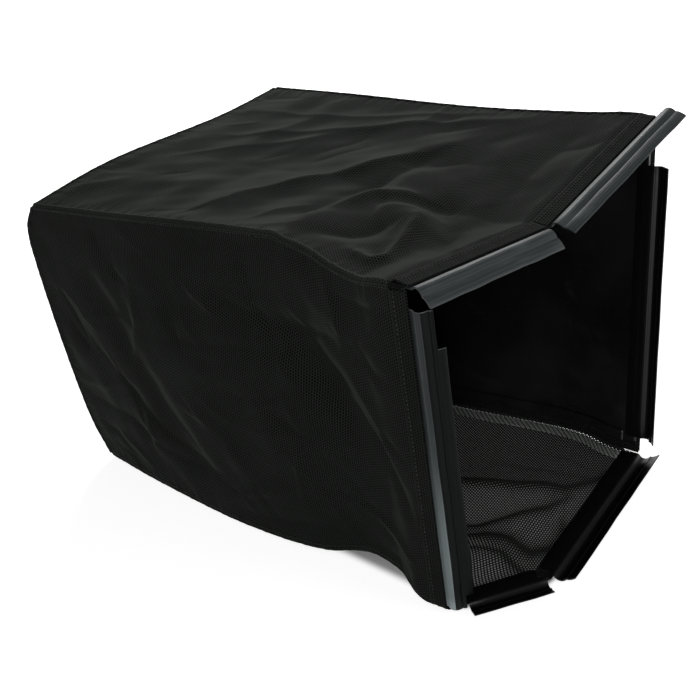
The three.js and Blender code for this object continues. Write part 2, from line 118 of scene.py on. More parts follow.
def unit(rows):
    return rows / np.linalg.norm(rows, axis=1)[:, None]


def run_lengths(pts):
    """How far each point lies along the line through all of them."""
    return np.concatenate([[0], np.cumsum(np.linalg.norm(np.diff(pts, axis=0), axis=1))])


class SeamLine:
    """A smooth centripetal line through points, read by its share of length."""

    def __init__(self, *points):
        pts = np.array(points, float)
        self.pts = np.vstack([2 * pts[0] - pts[1], pts, 2 * pts[-1] - pts[-2]])
        self.params = np.linspace(0, 1, 201)
        self.lengths = run_lengths(self.raw(self.params))

    def raw(self, t):
        spans = len(self.pts) - 3
        i = np.minimum((t * spans).astype(int), spans - 1)
        w = (t * spans - i)[:, None]
        p0, p1, p2, p3 = (self.pts[i + k] for k in range(4))
        spans_near = ((p0, p1), (p1, p2), (p2, p3))
        d0, d1, d2 = (np.sqrt(np.linalg.norm(b - a, axis=1))[:, None] for a, b in spans_near)
        t1 = ((p1 - p0) / d0 - (p2 - p0) / (d0 + d1) + (p2 - p1) / d1) * d1
        t2 = ((p2 - p1) / d1 - (p3 - p1) / (d1 + d2) + (p3 - p2) / d2) * d1
        return p1 + t1 * w + (3 * (p2 - p1) - 2 * t1 - t2) * w**2 + (2 * (p1 - p2) + t1 + t2) * w**3

    def at(self, share):
        return self.raw(np.interp(np.atleast_1d(share), self.lengths / self.lengths[-1], self.params))


class StraightRuns:
    """Straight lines from point to point, read by the share of their whole length."""

    def __init__(self, *points):
        self.pts = np.array(points, float)
        lengths = run_lengths(self.pts)
        self.shares = lengths / lengths[-1]

    def at(self, share):
        share = np.atleast_1d(share)
        return np.stack([np.interp(share, self.shares, self.pts[:, k]) for k in range(3)], axis=1)


HALF = BAG_WIDTH / 2
rear_top_left = place(-HALF, 0, BAG_HEIGHT)
rear_top_right = place(HALF, 0, BAG_HEIGHT)
rear_foot_left = place(-HALF - FOOT_FLARE / 2, REAR_BOW / 2, SEAM_LIFT)
rear_foot_right = place(rear_foot_left[0] + FLOOR_WIDTH, REAR_BOW / 4, SEAM_LIFT)
mouth_top_left = place(MOUTH_SHIFT - MOUTH_WIDTH / 2, -BAG_LENGTH, BAG_HEIGHT)
mouth_top_right = place(MOUTH_SHIFT + MOUTH_WIDTH / 2, -BAG_LENGTH, BAG_HEIGHT)
mouth_foot_left = place(-HALF, MOUTH_RAKE_LEFT - BAG_LENGTH, SEAM_LIFT)
mouth_foot_right = place(mouth_foot_left[0] + MOUTH_FLOOR_WIDTH, MOUTH_RAKE_RIGHT - BAG_LENGTH, SEAM_LIFT)
top_joint = mouth_top_left + place(*TOP_JOINT)
floor_joint = mouth_foot_left + place(*FLOOR_JOINT)


def between(a, b, *stations):
    """Points on the way from a to b, each given as (share of the way, x, y, z to go aside)."""
    return [mix(a, b, share) + place(*aside) for share, *aside in stations]


def sagged(a, b, *stations):
    return SeamLine(a, *between(a, b, *stations), b)


def bowed_rear(top, foot):
    out = [mix(top, foot, share) for share in (0.09, 0.25, 0.85)]
    for point, bow in zip(out, (REAR_BOW * 0.72, REAR_BOW, REAR_BOW)):
        point[1] = bow
    return SeamLine(top, *out, foot)


waist = place(WAIST_IN - HALF, -WAIST_AT, BAG_HEIGHT - SEAM_SAG / 4)
# The cloth stands up a little where the seam turns at the waist, and sinks between there and the mouth
bend = waist + place(6, -20, 5)
seam_top_left = SeamLine(
    rear_top_left,
    *between(rear_top_left, waist, (0.4, WAIST_IN / 8, 0, 0)),
    *between(rear_top_left, bend, (0.81, 1.5, 0, 0), (0.95, 0, 0, 0)),
    bend,
    *between(bend, mouth_top_left, (0.09, 0.6, 0, -2), (0.25, 2, 0, -4), (0.5, -1, 0, -9), (0.75, -2, 0, -8)),
    mouth_top_left,
)
seam_top_right = sagged(rear_top_right, mouth_top_right, (0.25, 0, 0, -SEAM_SAG / 4), (0.62, 0, 0, -SEAM_SAG))
seam_top_rear = sagged(
    rear_top_left, rear_top_right, (0.3, 0, REAR_BOW / 4, REAR_ARCH), (0.76, 0, 0, -REAR_ARCH / 2)
)
seam_rear_left = bowed_rear(rear_top_left, rear_foot_left)
seam_rear_right = bowed_rear(rear_top_right, rear_foot_right)
flared = [mix(rear_foot_left, mouth_foot_left, share) for share in (0.2, 0.5)]
for point in flared:
    point[0] = -HALF - FOOT_FLARE
tuck_y = mouth_foot_left[1] + TUCK_BEHIND_MOUTH
seam_foot_left = SeamLine(
    rear_foot_left,
    *flared,
    place(-HALF, tuck_y + TUCK_LENGTH, SEAM_LIFT + TUCK_UP / 3),
    place(-HALF + TUCK_IN, tuck_y, SEAM_LIFT + TUCK_UP),
    mouth_foot_left,
)
seam_foot_right = sagged(rear_foot_right, mouth_foot_right, (0.5, -BELLY, 0, 0), (0.86, BELLY, 0, 0))
seam_foot_rear = sagged(rear_foot_left, rear_foot_right, (0.5, 0, REAR_CROWN, 0))
mouth_top = StraightRuns(mouth_top_left, top_joint, mouth_top_right)
mouth_left = StraightRuns(mouth_top_left, mouth_foot_left)
mouth_right = StraightRuns(mouth_top_right, mouth_foot_right)
mouth_floor = StraightRuns(mouth_foot_left, floor_joint, mouth_foot_right)
TOP_JOINT_SHARE = mouth_top.shares[1]
FLOOR_JOINT_SHARE = mouth_floor.shares[1]

# Folds, in millimetres. A fold is (height, width of its slope on the right of its run, width on the left,
# radius of its crest) and the places it runs through, each as the distance from the rear and from the panel's
# first side seam. Those named SOLID are in the solids too: start, end, height and width.
SOLID_TOP = (((430, 112), (497, 62), 11, 24), ((345, 60), (350, 190), 7, 34), ((300, 40), (420, 170), -5, 20))
SOLID_LEFT = (
    ((388, 95), (490, 250), -10, 26),
    ((392, 22), (450, 70), 6, 18),
    ((230, 90), (360, 92), -4, 16),
    ((95, 90), (215, 280), -5, 20),
)
TOP_FOLDS = (
    # the long crest from the waist to the far side, steep towards the mouth
    ((11, 40, 16, 2), (225, 70), (270, 160), (300, 210), (330, 255), (365, 285)),
    # the valley before it and the next crest
    ((-7, 14, 14, 5), (330, 60), (332, 110), (334, 160), (338, 215), (345, 250)),
    ((6, 16, 10, 3), (340, 60), (350, 110), (358, 140), (378, 162), (420, 175)),
    # the pillow by the corner of the mouth, with the crescent under it
    ((9, 15, 12, 8), (380, 120), (425, 134)),
    ((8, 9, 7, 2), (430, 33), (462, 30), (472, 42), (463, 68), (448, 100), (430, 132)),
    ((-7, 12, 12, 5), (375, 38), (402, 58), (420, 92)),
    ((-9, 15, 15, 5), (430, 162), (474, 120), (502, 80)),
    # lines across the rear half
    ((3.4, 16, 8, 1.2), (70, 230), (160, 270), (210, 290), (270, 318), (400, 350)),
    ((2.2, 14, 7, 1.2), (60, 160), (105, 200), (165, 245), (210, 288)),
    ((1.9, 12, 6, 1.2), (30, 300), (185, 315), (270, 342), (360, 360)),
    ((1.8, 24, 24, 6), (40, 60), (110, 90), (190, 120)),
    ((-1.6, 22, 22, 6), (150, 30), (190, 150)),
    # slack along the mouth
    ((3.5, 7, 10, 1.5), (510, 55), (512, 100), (517, 130), (522, 170), (518, 250), (515, 345)),
    ((-3.5, 16, 16, 5), (470, 160), (468, 260), (475, 340)),
    ((-2, 26, 26, 8), (330, 258), (410, 214), (480, 180)),
    ((1.6, 12, 12, 3), (400, 290), (450, 250), (500, 235)),
)
LEFT_FOLDS = (
    # the crease down from the waist
    ((3.5, 12, 5, 1), (425, 4), (430, 14), (437, 30), (446, 48), (448, 78)),
    # the diagonal valley to the lower corner of the mouth, with the flat that stands over it
    ((-7, 18, 8, 2), (405, 105), (430, 135), (455, 165), (480, 195), (500, 222), (512, 252)),
    ((3, 9, 5, 1.2), (450, 112), (468, 136), (487, 168), (502, 205)),
    ((2.6, 6, 6, 1.2), (503, 40), (478, 68), (450, 104)),
    ((-2.2, 9, 9, 2), (430, 60), (470, 90), (505, 100)),
    # arcs under the seam
    ((-3.4, 5, 13, 1.2), (250, 68), (300, 78), (340, 90), (372, 94), (435, 80)),
    ((-2, 6, 6, 1.5), (270, 66), (318, 64), (372, 60)),
    ((-2, 5, 10, 1), (190, 136), (270, 126), (312, 122), (352, 121), (395, 108)),
    ((-2, 6, 6, 1.2), (280, 172), (310, 178), (345, 170), (372, 150)),
    ((1.6, 9, 9, 2), (300, 205), (330, 212), (372, 200)),
    # long lines from the rear
    ((-3, 6, 14, 1.2), (60, 160), (80, 180), (110, 200), (135, 232), (170, 258), (215, 272), (245, 285)),
    ((2.4, 8, 14, 1.5), (160, 60), (160, 120), (144, 165), (136, 200)),
    ((-2, 10, 10, 3), (120, 20), (138, 80), (140, 130)),
    ((2.4, 6, 11, 1.2), (6, 236), (60, 226), (135, 202)),
    ((-2.6, 6, 12, 1.2), (20, 252), (105, 258), (145, 278), (200, 286), (262, 282)),
    ((2.6, 5, 10, 1), (245, 315), (275, 300), (312, 286), (350, 276)),
    ((-2, 7, 7, 1.5), (262, 322), (330, 316), (400, 310)),
    ((2.6, 6, 6, 1.2), (455, 280), (480, 292), (505, 300)),
    ((-2, 10, 10, 2), (400, 225), (430, 255), (470, 300)),
    ((-1.2, 5, 5, 1), (215, 12), (300, 12), (385, 14)),
    ((2, 20, 20, 5), (330, 150), (345, 230), (330, 300)),
    ((2, 14, 14, 4), (220, 190), (260, 220), (300, 270)),
)
# Creases of the bottom panel fan out from the right corner of the mouth. The cloth lies doubled in them, as
# FLOOR_CREASES have it, which closes holes and darkens them, partly a painted shade, and stands up as
# FLOOR_FOLDS have it.
MAIN_CREASE = ((300, 152), (330, 156), (400, 166), (448, 179), (494, 200), (516, 228), (534, 264))
FAN = (
    ((505, 196), (492, 168), (468, 133), (448, 108), (400, 80)),
    ((532, 166), (522, 128), (508, 112), (484, 108), (460, 98), (420, 70)),
    ((566, 92), (538, 86), (514, 88), (488, 90), (450, 60)),
)
FLOOR_CREASES = (
    ((1, 3.5, 3.5, 1), *MAIN_CREASE),
    ((0.9, 2.5, 2.5, 1), *FAN[0]),
    ((1, 4, 4, 1.5), *FAN[1]),
    ((0.8, 2.5, 2.5, 1), *FAN[2]),
    ((0.45, 5, 5, 2), (520, 236), (480, 214), (440, 205), (380, 200)),
    ((0.4, 5, 5, 2), (528, 250), (500, 240), (430, 236)),
    ((0.5, 3, 3, 1), (545, 130), (528, 140), (512, 168)),
)
FLOOR_FOLDS = (
    ((5, 26, 4, 1.5), *MAIN_CREASE),
    ((3.5, 12, 4, 1.5), *FAN[0]),
    ((5, 12, 5, 1.5), *FAN[1]),
    ((3.5, 8, 8, 1.5), *FAN[2]),
    ((3, 16, 16, 4), (120, 70), (190, 140), (260, 210)),
)
# Past the main crease the holes close too: a painted shade of the raised cloth there
DOUBLED_BEYOND = 0.3
RIGHT_FOLDS = (
    ((2, 18, 18, 5), (60, 60), (130, 150), (200, 260)),
    ((-2, 20, 20, 6), (240, 40), (290, 160), (330, 280)),
    ((2, 16, 16, 5), (380, 80), (430, 180), (470, 290)),
)
REAR_FOLDS = (
    ((3, 14, 14, 3), (40, 60), (140, 90), (250, 120)),
    ((-3, 16, 16, 4), (60, 300), (150, 260), (240, 220)),
    ((2.5, 18, 18, 5), (120, 100), (140, 190), (160, 280)),
)


def from_run(p, q, start, run):
    """Share along a straight run, distance from it, and the side on which a place lies."""
    rel_p, rel_q = p - start[0], q - start[1]
    along = np.clip((rel_p * run[0] + rel_q * run[1]) / (run @ run), 0, 1)
    return along, np.hypot(rel_p - along * run[0], rel_q - along * run[1]), run[0] * rel_q - run[1] * rel_p


def solid_height(p, q, folds):
    total = np.zeros_like(p)
    for start, end, height, width in folds:
        _, off, _ = from_run(p, q, start, np.subtract(end, start))
        total += height * np.exp(-((off / width) ** 2))
    return total


def fold_height(p, q, folds):
    total = np.zeros_like(p)
    for (height, right, left, crest), *places in folds:
        runs = np.diff(np.array(places, float), axis=0)
        lengths = np.linalg.norm(runs, axis=1)
        near = np.full_like(p, np.inf)
        side, share = np.zeros_like(p), np.zeros_like(p)
        for k, run in enumerate(runs):
            along, off, beside = from_run(p, q, places[k], run)
            closer = off < near
            near = np.where(closer, off, near)
            side = np.where(closer, beside, side)
            share = np.where(closer, (lengths[:k].sum() + along * lengths[k]) / lengths.sum(), share)
        blend = 0.5 + 0.5 * np.tanh(side / lengths.mean() / 3)
        width = right * blend + left * (1 - blend)
        fade = 0.15 + 0.85 * np.sin(math.pi * np.clip(share, 0.02, 0.98)) ** 0.5
        total += height * fade * np.exp(-(np.sqrt(near**2 + crest**2) - crest) / width)
    return total


def small_creases(seed, width, slant, count, height):
    """Short uneven folds strewn over a panel, most of them near one slant."""
    rng = np.random.default_rng(seed)
    made = []
    for _ in range(count):
        at = rng.uniform((30, 15), (BAG_LENGTH - 40, width - 15))
        angle = slant + rng.normal(0, 0.45)
        run = np.array((math.cos(angle), math.sin(angle))) * rng.uniform(14, 42)
        bow = np.array((-run[1], run[0])) * rng.uniform(-0.25, 0.25)
        rise = height * rng.uniform(0.4, 1) * rng.choice((-1, 1))
        made.append(((rise, rng.uniform(2.5, 6), rng.uniform(4, 10), 0.8), at - run, at + bow, at + run))
    return tuple(made)


# Slack waves: how many, their shortest and longest length and their height in millimetres
WAVES, WAVE_SHORT, WAVE_LONG, WAVE_HEIGHT = 14, 28, 95, 0.3
WAVE_SWAY, SWAY_LENGTH = 6, 60
# Gathers at the seams: their height, how far they reach, and how close to the seam they start
GATHER_HEIGHT, GATHER_REACH, GATHER_START = 0.45, 9.0, 1.5
GATHER_LENGTHS = (9.0, 13.5, 21.0)


def slack_waves(p, q, seed):
    """Low uneven waves of loose cloth, about 1 mm high."""
    rng = np.random.default_rng(seed)
    total = np.zeros_like(p)
    for _ in range(WAVES):
        angle, phase = rng.uniform(0, math.pi), rng.uniform(0, TURN)
        length = rng.uniform(WAVE_SHORT, WAVE_LONG)
        c, s = math.cos(angle), math.sin(angle)
        sway = WAVE_SWAY * np.sin((p * s - q * c) / SWAY_LENGTH + phase)
        total += length / WAVE_LONG * np.sin(TURN / length * (p * c + q * s + sway) + phase)
    return WAVE_HEIGHT * total


def pucker(distance, along, seed):
    """Short gathers where cloth is sewn, dying out away from the seam."""
    rng = np.random.default_rng(seed)
    waves = sum(np.sin(TURN * along / length + rng.uniform(0, 6)) for length in GATHER_LENGTHS)
    faded = np.exp(-distance / GATHER_REACH) * (1 - np.exp(-distance / GATHER_START))
    return GATHER_HEIGHT * waves * faded


# Panels

FLAT_SHARE = (FLANGE + 6) / BAG_LENGTH
SOFT_STOP = 1 - 3 * FLAT_SHARE
FLOOR_MARGIN = 0.16
# Folds fade out over these lengths in millimetres at the rear and the mouth, and over this share at the sides
REAR_FADE, MOUTH_FADE, SIDE_FADE = 25, 14, 1 / 14
FORWARD = place(0, -1, 0)


def hump(t):
    return (1 - np.cos(TURN * np.clip(t, 0, 1))) / 2


def along_hump(s):
    return hump(s / (1 - FLAT_SHARE))


def rise_from_edges(t):
    return smoothstep(np.minimum(t, 1 - t), 0, FLOOR_MARGIN)


def stations(s, t):
    return np.broadcast_arrays(np.atleast_1d(s).astype(float), np.atleast_1d(t).astype(float))


class Panel:
    """One cut of mesh cloth. s runs from the rear to the mouth and t across it; out points out of the bag.

    crown is how far it stands out in the middle, and turn is -1 where s and t make it face inwards.
    """

    def __init__(self, sides, ends, out, turn, crown, solid, folds, width, seed, length=BAG_LENGTH):
        self.sides, self.ends = sides, ends
        self.out, self.turn, self.crown = place(*out), turn, crown
        self.solid, self.folds, self.width, self.seed = solid, folds, width, seed
        self.length = length

    def loose(self, s, t):
        p, q = s * self.length, t * self.width
        return fold_height(p, q, self.folds) + slack_waves(p, q, self.seed)

    def spanned(self, s, t):
        """The smooth surface between the four seam lines."""
        S, T = s[:, None], t[:, None]
        (side0, side1), (end0, end1) = self.sides, self.ends
        corners = mix(mix(end0.at(0), end0.at(1), T), mix(end1.at(0), end1.at(1), T), S)
        return mix(side0.at(s), side1.at(s), T) + mix(end0.at(t), end1.at(t), S) - corners

    def surface(self, s, t):
        s, t = stations(s, t)
        calm = np.sin(math.pi * np.clip(t, 0, 1)) ** 0.6 * np.minimum(1, 4 * along_hump(s))
        p = s * BAG_LENGTH
        fine = smoothstep(p, 0, REAR_FADE) * smoothstep(BAG_LENGTH - p, FLANGE, FLANGE + MOUTH_FADE)
        fine = fine * np.clip(np.minimum(t, 1 - t) / SIDE_FADE, 0, 1) ** 0.7
        push = self.crown * along_hump(s) * np.sin(math.pi * t)
        push = push + calm * solid_height(p, t * self.width, self.solid)
        straight = self.ends[1].at(t) + FORWARD * ((s - 1) * BAG_LENGTH)[:, None]
        soft = self.spanned(s, t) + self.out * push[:, None]
        shape = mix(soft, straight, smoothstep(s, SOFT_STOP, 1 - FLAT_SHARE)[:, None])
        return shape + self.out * (fine * self.loose(s, t))[:, None]

    def normal(self, s, t, step=2e-3):
        s, t = stations(s, t)
        ds = self.surface(np.clip(s + step, 0, 1), t) - self.surface(np.clip(s - step, 0, 1), t)
        dt = self.surface(s, np.clip(t + step, 0, 1)) - self.surface(s, np.clip(t - step, 0, 1))
        return unit(np.cross(ds, dt) * self.turn)


class FloorPanel(Panel):
    """The bottom panel lies on the floor but for a margin along its seams, and its folds stand up from it."""

    def surface(self, s, t):
        s, t = stations(s, t)
        p = super().surface(s, t)
        flat = rise_from_edges(t) * rise_from_edges(s / (1 - FLAT_SHARE))
        lift = np.maximum(fold_height(s * BAG_LENGTH, t * self.width, FLOOR_FOLDS), 0) * np.sqrt(flat)
        p[:, 2] = mix(p[:, 2], FABRIC / 2, flat) + lift
        return p


class RearPanel(Panel):
    """The rear panel's s runs from the top seam down."""

    def surface(self, s, t):
        s, t = stations(s, t)
        calm = np.sqrt(np.clip(np.sin(math.pi * s) * np.sin(math.pi * t), 0, 1))
        push = self.crown * hump(s) * np.sin(math.pi * t) + calm * self.loose(s, t)
        return self.spanned(s, t) + self.out * push[:, None]


top_panel = Panel(
    (seam_top_left, seam_top_right), (seam_top_rear, mouth_top), (0, 0, 1), 1, -TOP_SLACK, SOLID_TOP,
    TOP_FOLDS + small_creases(31, BAG_WIDTH, 0.7, 26, 1.3), BAG_WIDTH, 3,
)
left_panel = Panel(
    (seam_top_left, seam_foot_left), (seam_rear_left, mouth_left), (-1, 0, 0), -1, BELLY, SOLID_LEFT,
    LEFT_FOLDS + small_creases(32, BAG_HEIGHT, 0.75, 60, 2.4), BAG_HEIGHT, 5,
)
right_panel = Panel(
    (seam_top_right, seam_foot_right), (seam_rear_right, mouth_right), (1, 0, 0), 1, BELLY, (),
    RIGHT_FOLDS + small_creases(33, BAG_HEIGHT, 0.75, 40, 1.5), BAG_HEIGHT, 7,
)
floor_panel = FloorPanel(
    (seam_foot_left, seam_foot_right), (seam_foot_rear, mouth_floor), (0, 0, 1), -1, 0, (), (),
    MOUTH_FLOOR_WIDTH, 11,
)
rear_panel = RearPanel(
    (seam_rear_left, seam_rear_right), (seam_top_rear, seam_foot_rear), (0, 1, 0), -1, REAR_CROWN, (),
    REAR_FOLDS, BAG_WIDTH, 13, BAG_HEIGHT,
)


# Making meshes


def finish_piece(obj, material, replaced=()):
    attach(obj, "root")
    if replaced:
        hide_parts(*replaced)
    obj.data.materials.clear()
    obj.data.materials.append(bpy.data.materials[material])


def sheet_piece(obj, material, replaced):
    finish_piece(obj, material, replaced)


def only(obj):
    """Makes obj the one selected and active object."""
    bpy.ops.object.select_all(action="DESELECT")
    obj.select_set(True)
    bpy.context.view_layer.objects.active = obj


def apply_modifiers(obj):
    only(obj)
    for m in list(obj.modifiers):
        bpy.ops.object.modifier_apply(modifier=m.name)


def edit_faces(obj, operator, **values):
    """Runs an operator of edit mode over the whole mesh."""
    only(obj)
    bpy.ops.object.mode_set(mode="EDIT")
    bpy.ops.mesh.select_all(action="SELECT")
    operator(**values)
    bpy.ops.object.mode_set(mode="OBJECT")


def mesh_object(name, points, faces):
    """An object from points in the bag's own millimetres."""
    mesh = bpy.data.meshes.new(name)
    mesh.from_pydata(((np.reshape(points, (-1, 3)) + SHIFT) * MM).tolist(), [], faces)
    obj = bpy.data.objects.new(name, mesh)
    bpy.context.collection.objects.link(obj)
    return obj


def grid_mesh(name, points, uv, closed_across=False):
    """A cloth mesh from points[i][j], with its own map in metres along the cloth. A closed one is capped."""
    rows, cols = points.shape[:2]
    faces = []
    for i in range(rows - 1):
        for j in range(cols if closed_across else cols - 1):
            k = (j + 1) % cols
            faces.append((i * cols + j, (i + 1) * cols + j, (i + 1) * cols + k, i * cols + k))
    if closed_across:
        faces.append(tuple(range(cols)))
        faces.append(tuple(reversed(range((rows - 1) * cols, rows * cols))))
    obj = mesh_object(name, points, faces)
    layer = obj.data.uv_layers.new(name="cloth")
    index = np.empty(len(obj.data.loops), int)
    obj.data.loops.foreach_get("vertex_index", index)
    layer.data.foreach_set("uv", uv.reshape(-1, 2)[index].ravel())
    obj.data.validate()
    only(obj)
    bpy.ops.object.shade_smooth()
    return obj


def thicken(obj, thickness):
    solid = obj.modifiers.new("cloth thickness", "SOLIDIFY")
    solid.thickness = thickness
    solid.offset = 0
    solid.use_even_offset = False
    apply_modifiers(obj)


def panel_mesh(name, panel, ss, ts, height):
    """A panel's cloth over the stations given. height(s, t) lifts it along its normal."""
    S, T = np.meshgrid(ss, ts, indexing="ij")
    s, t = S.ravel(), T.ravel()
    points = panel.surface(s, t) + panel.normal(s, t) * height(s, t)[:, None]
    uv = np.stack([t * panel.width * MM, s * panel.length * MM], axis=1)
    obj = grid_mesh(name, points.reshape(*S.shape, 3), uv)
    if panel.turn < 0:
        edit_faces(obj, bpy.ops.mesh.flip_normals)
    return obj


def cloth_grid(name, panel, ss, ts, lift=0.0, sewn=False):
    """A panel's cloth, lifted evenly, with gathers along its seams where it is sewn."""

    def height(s, t):
        p, q = s * panel.length, t * panel.width
        total = np.full_like(s, lift)
        if sewn:
            for n, (distance, along) in enumerate(((q, p), (panel.width - q, p), (p, q))):
                total = total + pucker(distance, along, panel.seed * 10 + n)
        return total

    return panel_mesh(name, panel, ss, ts, height)


def mark_doubled(cloth, ss, ts):
    """Notes on the bottom panel's points how far its cloth lies doubled, so that fewer holes are open. This
    darkens the creases and the cloth past the main crease: partly doubled cloth, partly painted shade.
    """
    S, T = np.meshgrid(ss, ts, indexing="ij")
    p, q = S.ravel() * BAG_LENGTH, T.ravel() * floor_panel.width
    crease = np.array(MAIN_CREASE, float)
    beyond = smoothstep(q - np.interp(p, crease[:, 0], crease[:, 1]), -1, 6)
    share = np.clip(fold_height(p, q, FLOOR_CREASES), 0, 1)
    mark = cloth.data.attributes.new("doubled", "FLOAT", "POINT")
    mark.data.foreach_set("value", np.maximum(share, DOUBLED_BEYOND * beyond))


def tube(name, path, radii, outs, sides):
    """A round cord along a path."""
    tangent = unit(np.gradient(path, axis=0))
    out = unit(outs - tangent * np.sum(outs * tangent, axis=1)[:, None])
    side = np.cross(tangent, out)
    angles = np.linspace(0, TURN, sides, endpoint=False)
    rings = [path + (side * math.cos(a) + out * math.sin(a)) * radii[:, None] for a in angles]
    U, V = np.meshgrid(angles * radii.mean() * MM, run_lengths(path) * MM)
    return grid_mesh(name, np.stack(rings, axis=1), np.stack([U, V], axis=2), closed_across=True)


def join(name, objs):
    only(objs[0])
    for o in objs:
        o.select_set(True)
    bpy.ops.object.join()
    made = bpy.context.view_layer.objects.active
    made.name = made.data.name = name
    return made


# Shader effects


class Nodes:
    """Short hand for making nodes in a tree."""

    def __init__(self, tree):
        self.tree = tree

    def add(self, kind, **values):
        node = self.tree.nodes.new("ShaderNode" + kind)
        for key, value in values.items():
            setattr(node, key, value)
        return node

    def put(self, value, socket):
        if isinstance(value, bpy.types.NodeSocket):
            self.tree.links.new(value, socket)
        else:
            socket.default_value = value

    def fill(self, node, **values):
        """Puts values on the named inputs; an underscore stands for a space."""
        for key, value in values.items():
            self.put(value, node.inputs[key.replace("_", " ")])
        return node.outputs

    def math(self, operation, *values, clamp=False):
        node = self.add("Math", operation=operation, use_clamp=clamp)
        for value, socket in zip(values, node.inputs):
            self.put(value, socket)
        return node.outputs[0]

    def plus(self, a, b):
        return self.math("ADD", a, b)

    def less(self, a, b):
        return self.math("SUBTRACT", a, b)

    def times(self, a, b, clamp=False):
        return self.math("MULTIPLY", a, b, clamp=clamp)

    def wave(self, value):
        return self.math("ABSOLUTE", self.math("SINE", value))

    def mix(self, factor, a, b):
        node = self.add("Mix", data_type="RGBA")
        self.put(factor, node.inputs["Factor"])
        self.put(a, node.inputs[6])
        self.put(b, node.inputs[7])
        return node.outputs[2]

    def ramp(self, value, low, high, a=0.0, b=1.0):
        node = self.add("MapRange", interpolation_type="SMOOTHSTEP")
        for socket, x in zip(node.inputs[:5], (value, low, high, a, b)):
            self.put(x, socket)
        return node.outputs[0]

    def noise(self, vector, scale, detail=3.0, rough=0.5):
        node = self.add("TexNoise")
        return self.fill(node, Vector=vector, Scale=scale, Detail=detail, Roughness=rough)["Fac"]

    def split(self, vector):
        return self.fill(self.add("SeparateXYZ"), Vector=vector)

    def stretched_noise(self, vector, scale, detail, rough=0.5):
        stretched = self.fill(self.add("Mapping"), Vector=vector, Scale=scale)[0]
        return self.noise(stretched, 1.0, detail, rough)

    def cloth_map(self):
        return self.add("UVMap", uv_map="cloth").outputs[0]

    def object_place(self):
        return self.add("TexCoord").outputs["Object"]

    def effect(self, name, **values):
        node = self.add("Group")
        node.node_tree = bpy.data.node_groups[name]
        return self.fill(node, **values)

    def bump(self, shader, height, strength, distance):
        made = self.fill(self.add("Bump"), Strength=strength, Distance=distance, Height=height)
        self.put(made[0], shader.inputs["Normal"])


def new_group(name, vector, sizes, *outputs):
    """A node group with one vector input, some float inputs with their defaults, and float outputs."""
    group = bpy.data.node_groups.new(name, "ShaderNodeTree")
    socket = group.interface.new_socket
    socket(vector, in_out="INPUT", socket_type="NodeSocketVector")
    for title, default in sizes.items():
        socket(title, in_out="INPUT", socket_type="NodeSocketFloat").default_value = default
    for title in outputs:
        socket(title, in_out="OUTPUT", socket_type="NodeSocketFloat")
    n = Nodes(group)
    into = n.tree.nodes.new("NodeGroupInput").outputs
    return n, into, n.tree.nodes.new("NodeGroupOutput")


# The knit: row height as a share of the pitch, and how soft the edge of a hole is
ROW_STEP, HOLE_BLUR = 0.86, 0.06
# Step between the ribs that the die leaves, in metres, and how fine its streaks and the scuffs are
RIB_STEP = 0.0024
STREAK_SCALE, SCUFF_SCALE = (900, 900, 7), (120, 120, 22)


def knitted_mesh_group():
    """Knitted mesh: rows of small holes, each row half a step on from the last."""
    n, given, out = new_group("knitted mesh", "Map", {"Pitch": 0.0022, "Hole": 0.5}, "Thread", "Height")
    place_at = n.split(given["Map"])
    row = n.math("DIVIDE", place_at[1], n.times(given["Pitch"], ROW_STEP))
    odd = n.math("MODULO", n.math("ABSOLUTE", n.math("FLOOR", row)), 2.0)
    column = n.plus(n.math("DIVIDE", place_at[0], given["Pitch"]), n.times(odd, 0.5))
    du, dv = (n.less(n.math("FRACT", count), 0.5) for count in (column, row))
    away = n.math("SQRT", n.plus(n.times(du, du), n.times(dv, dv)))
    edge = n.times(given["Hole"], 0.5)
    thread = n.ramp(away, n.less(edge, HOLE_BLUR), n.plus(edge, HOLE_BLUR))
    n.fill(out, Thread=thread, Height=n.ramp(away, n.times(edge, 0.75), n.times(edge, 1.7)))


def twill_group():
    """Twill: narrow slanting ribs, for tapes."""
    n, given, out = new_group("twill", "Map", {"Pitch": 0.0012}, "Height")
    place_at = n.split(given["Map"])
    slant = n.plus(place_at[0], n.times(place_at[1], 0.8))
    n.fill(out, Height=n.wave(n.times(n.math("DIVIDE", slant, given["Pitch"]), math.pi)))


def wear_group():
    """Uneven dust and rubbing over a surface, from 0 to 1."""
    n, given, out = new_group("wear", "Place", {}, "Patches", "Grain")
    patches = n.ramp(n.noise(given["Place"], 9.0, 4.0), 0.35, 0.7)
    n.fill(out, Patches=patches, Grain=n.noise(given["Place"], 900.0, 2.0))


def streak_group():
    """Fine lines drawn along an extrusion. Place holds (forward, across, along) in metres."""
    n, given, out = new_group("drawn streaks", "Place", {}, "Streaks", "Scuffs", "Ribs")
    spot = given["Place"]
    n.fill(
        out,
        Ribs=n.wave(n.times(n.split(spot)[0], math.pi / RIB_STEP)),
        Streaks=n.stretched_noise(spot, STREAK_SCALE, 3.0, 0.6),
        Scuffs=n.ramp(n.stretched_noise(spot, SCUFF_SCALE, 4.0), 0.5, 0.72),
    )


def new_material(name):
    material = bpy.data.materials.new(name)
    material.use_nodes = True
    return Nodes(material.node_tree), material.node_tree.nodes["Principled BSDF"]


def tone(colour, share=1.0, more=0.0):
    return [c * share + more for c in colour[:3]] + [1]


# How dark a cloth's holes are painted beside its threads, a painted shade of the dark seen through them, and
# the slants of view at which the threads close over them and the painted sheen comes in
HOLE_SHADE = 0.05
GRAZING = (0.56, 0.78)
DRY_CLOTH = {"Roughness": 0.85, "Specular_IOR_Level": 0.06}


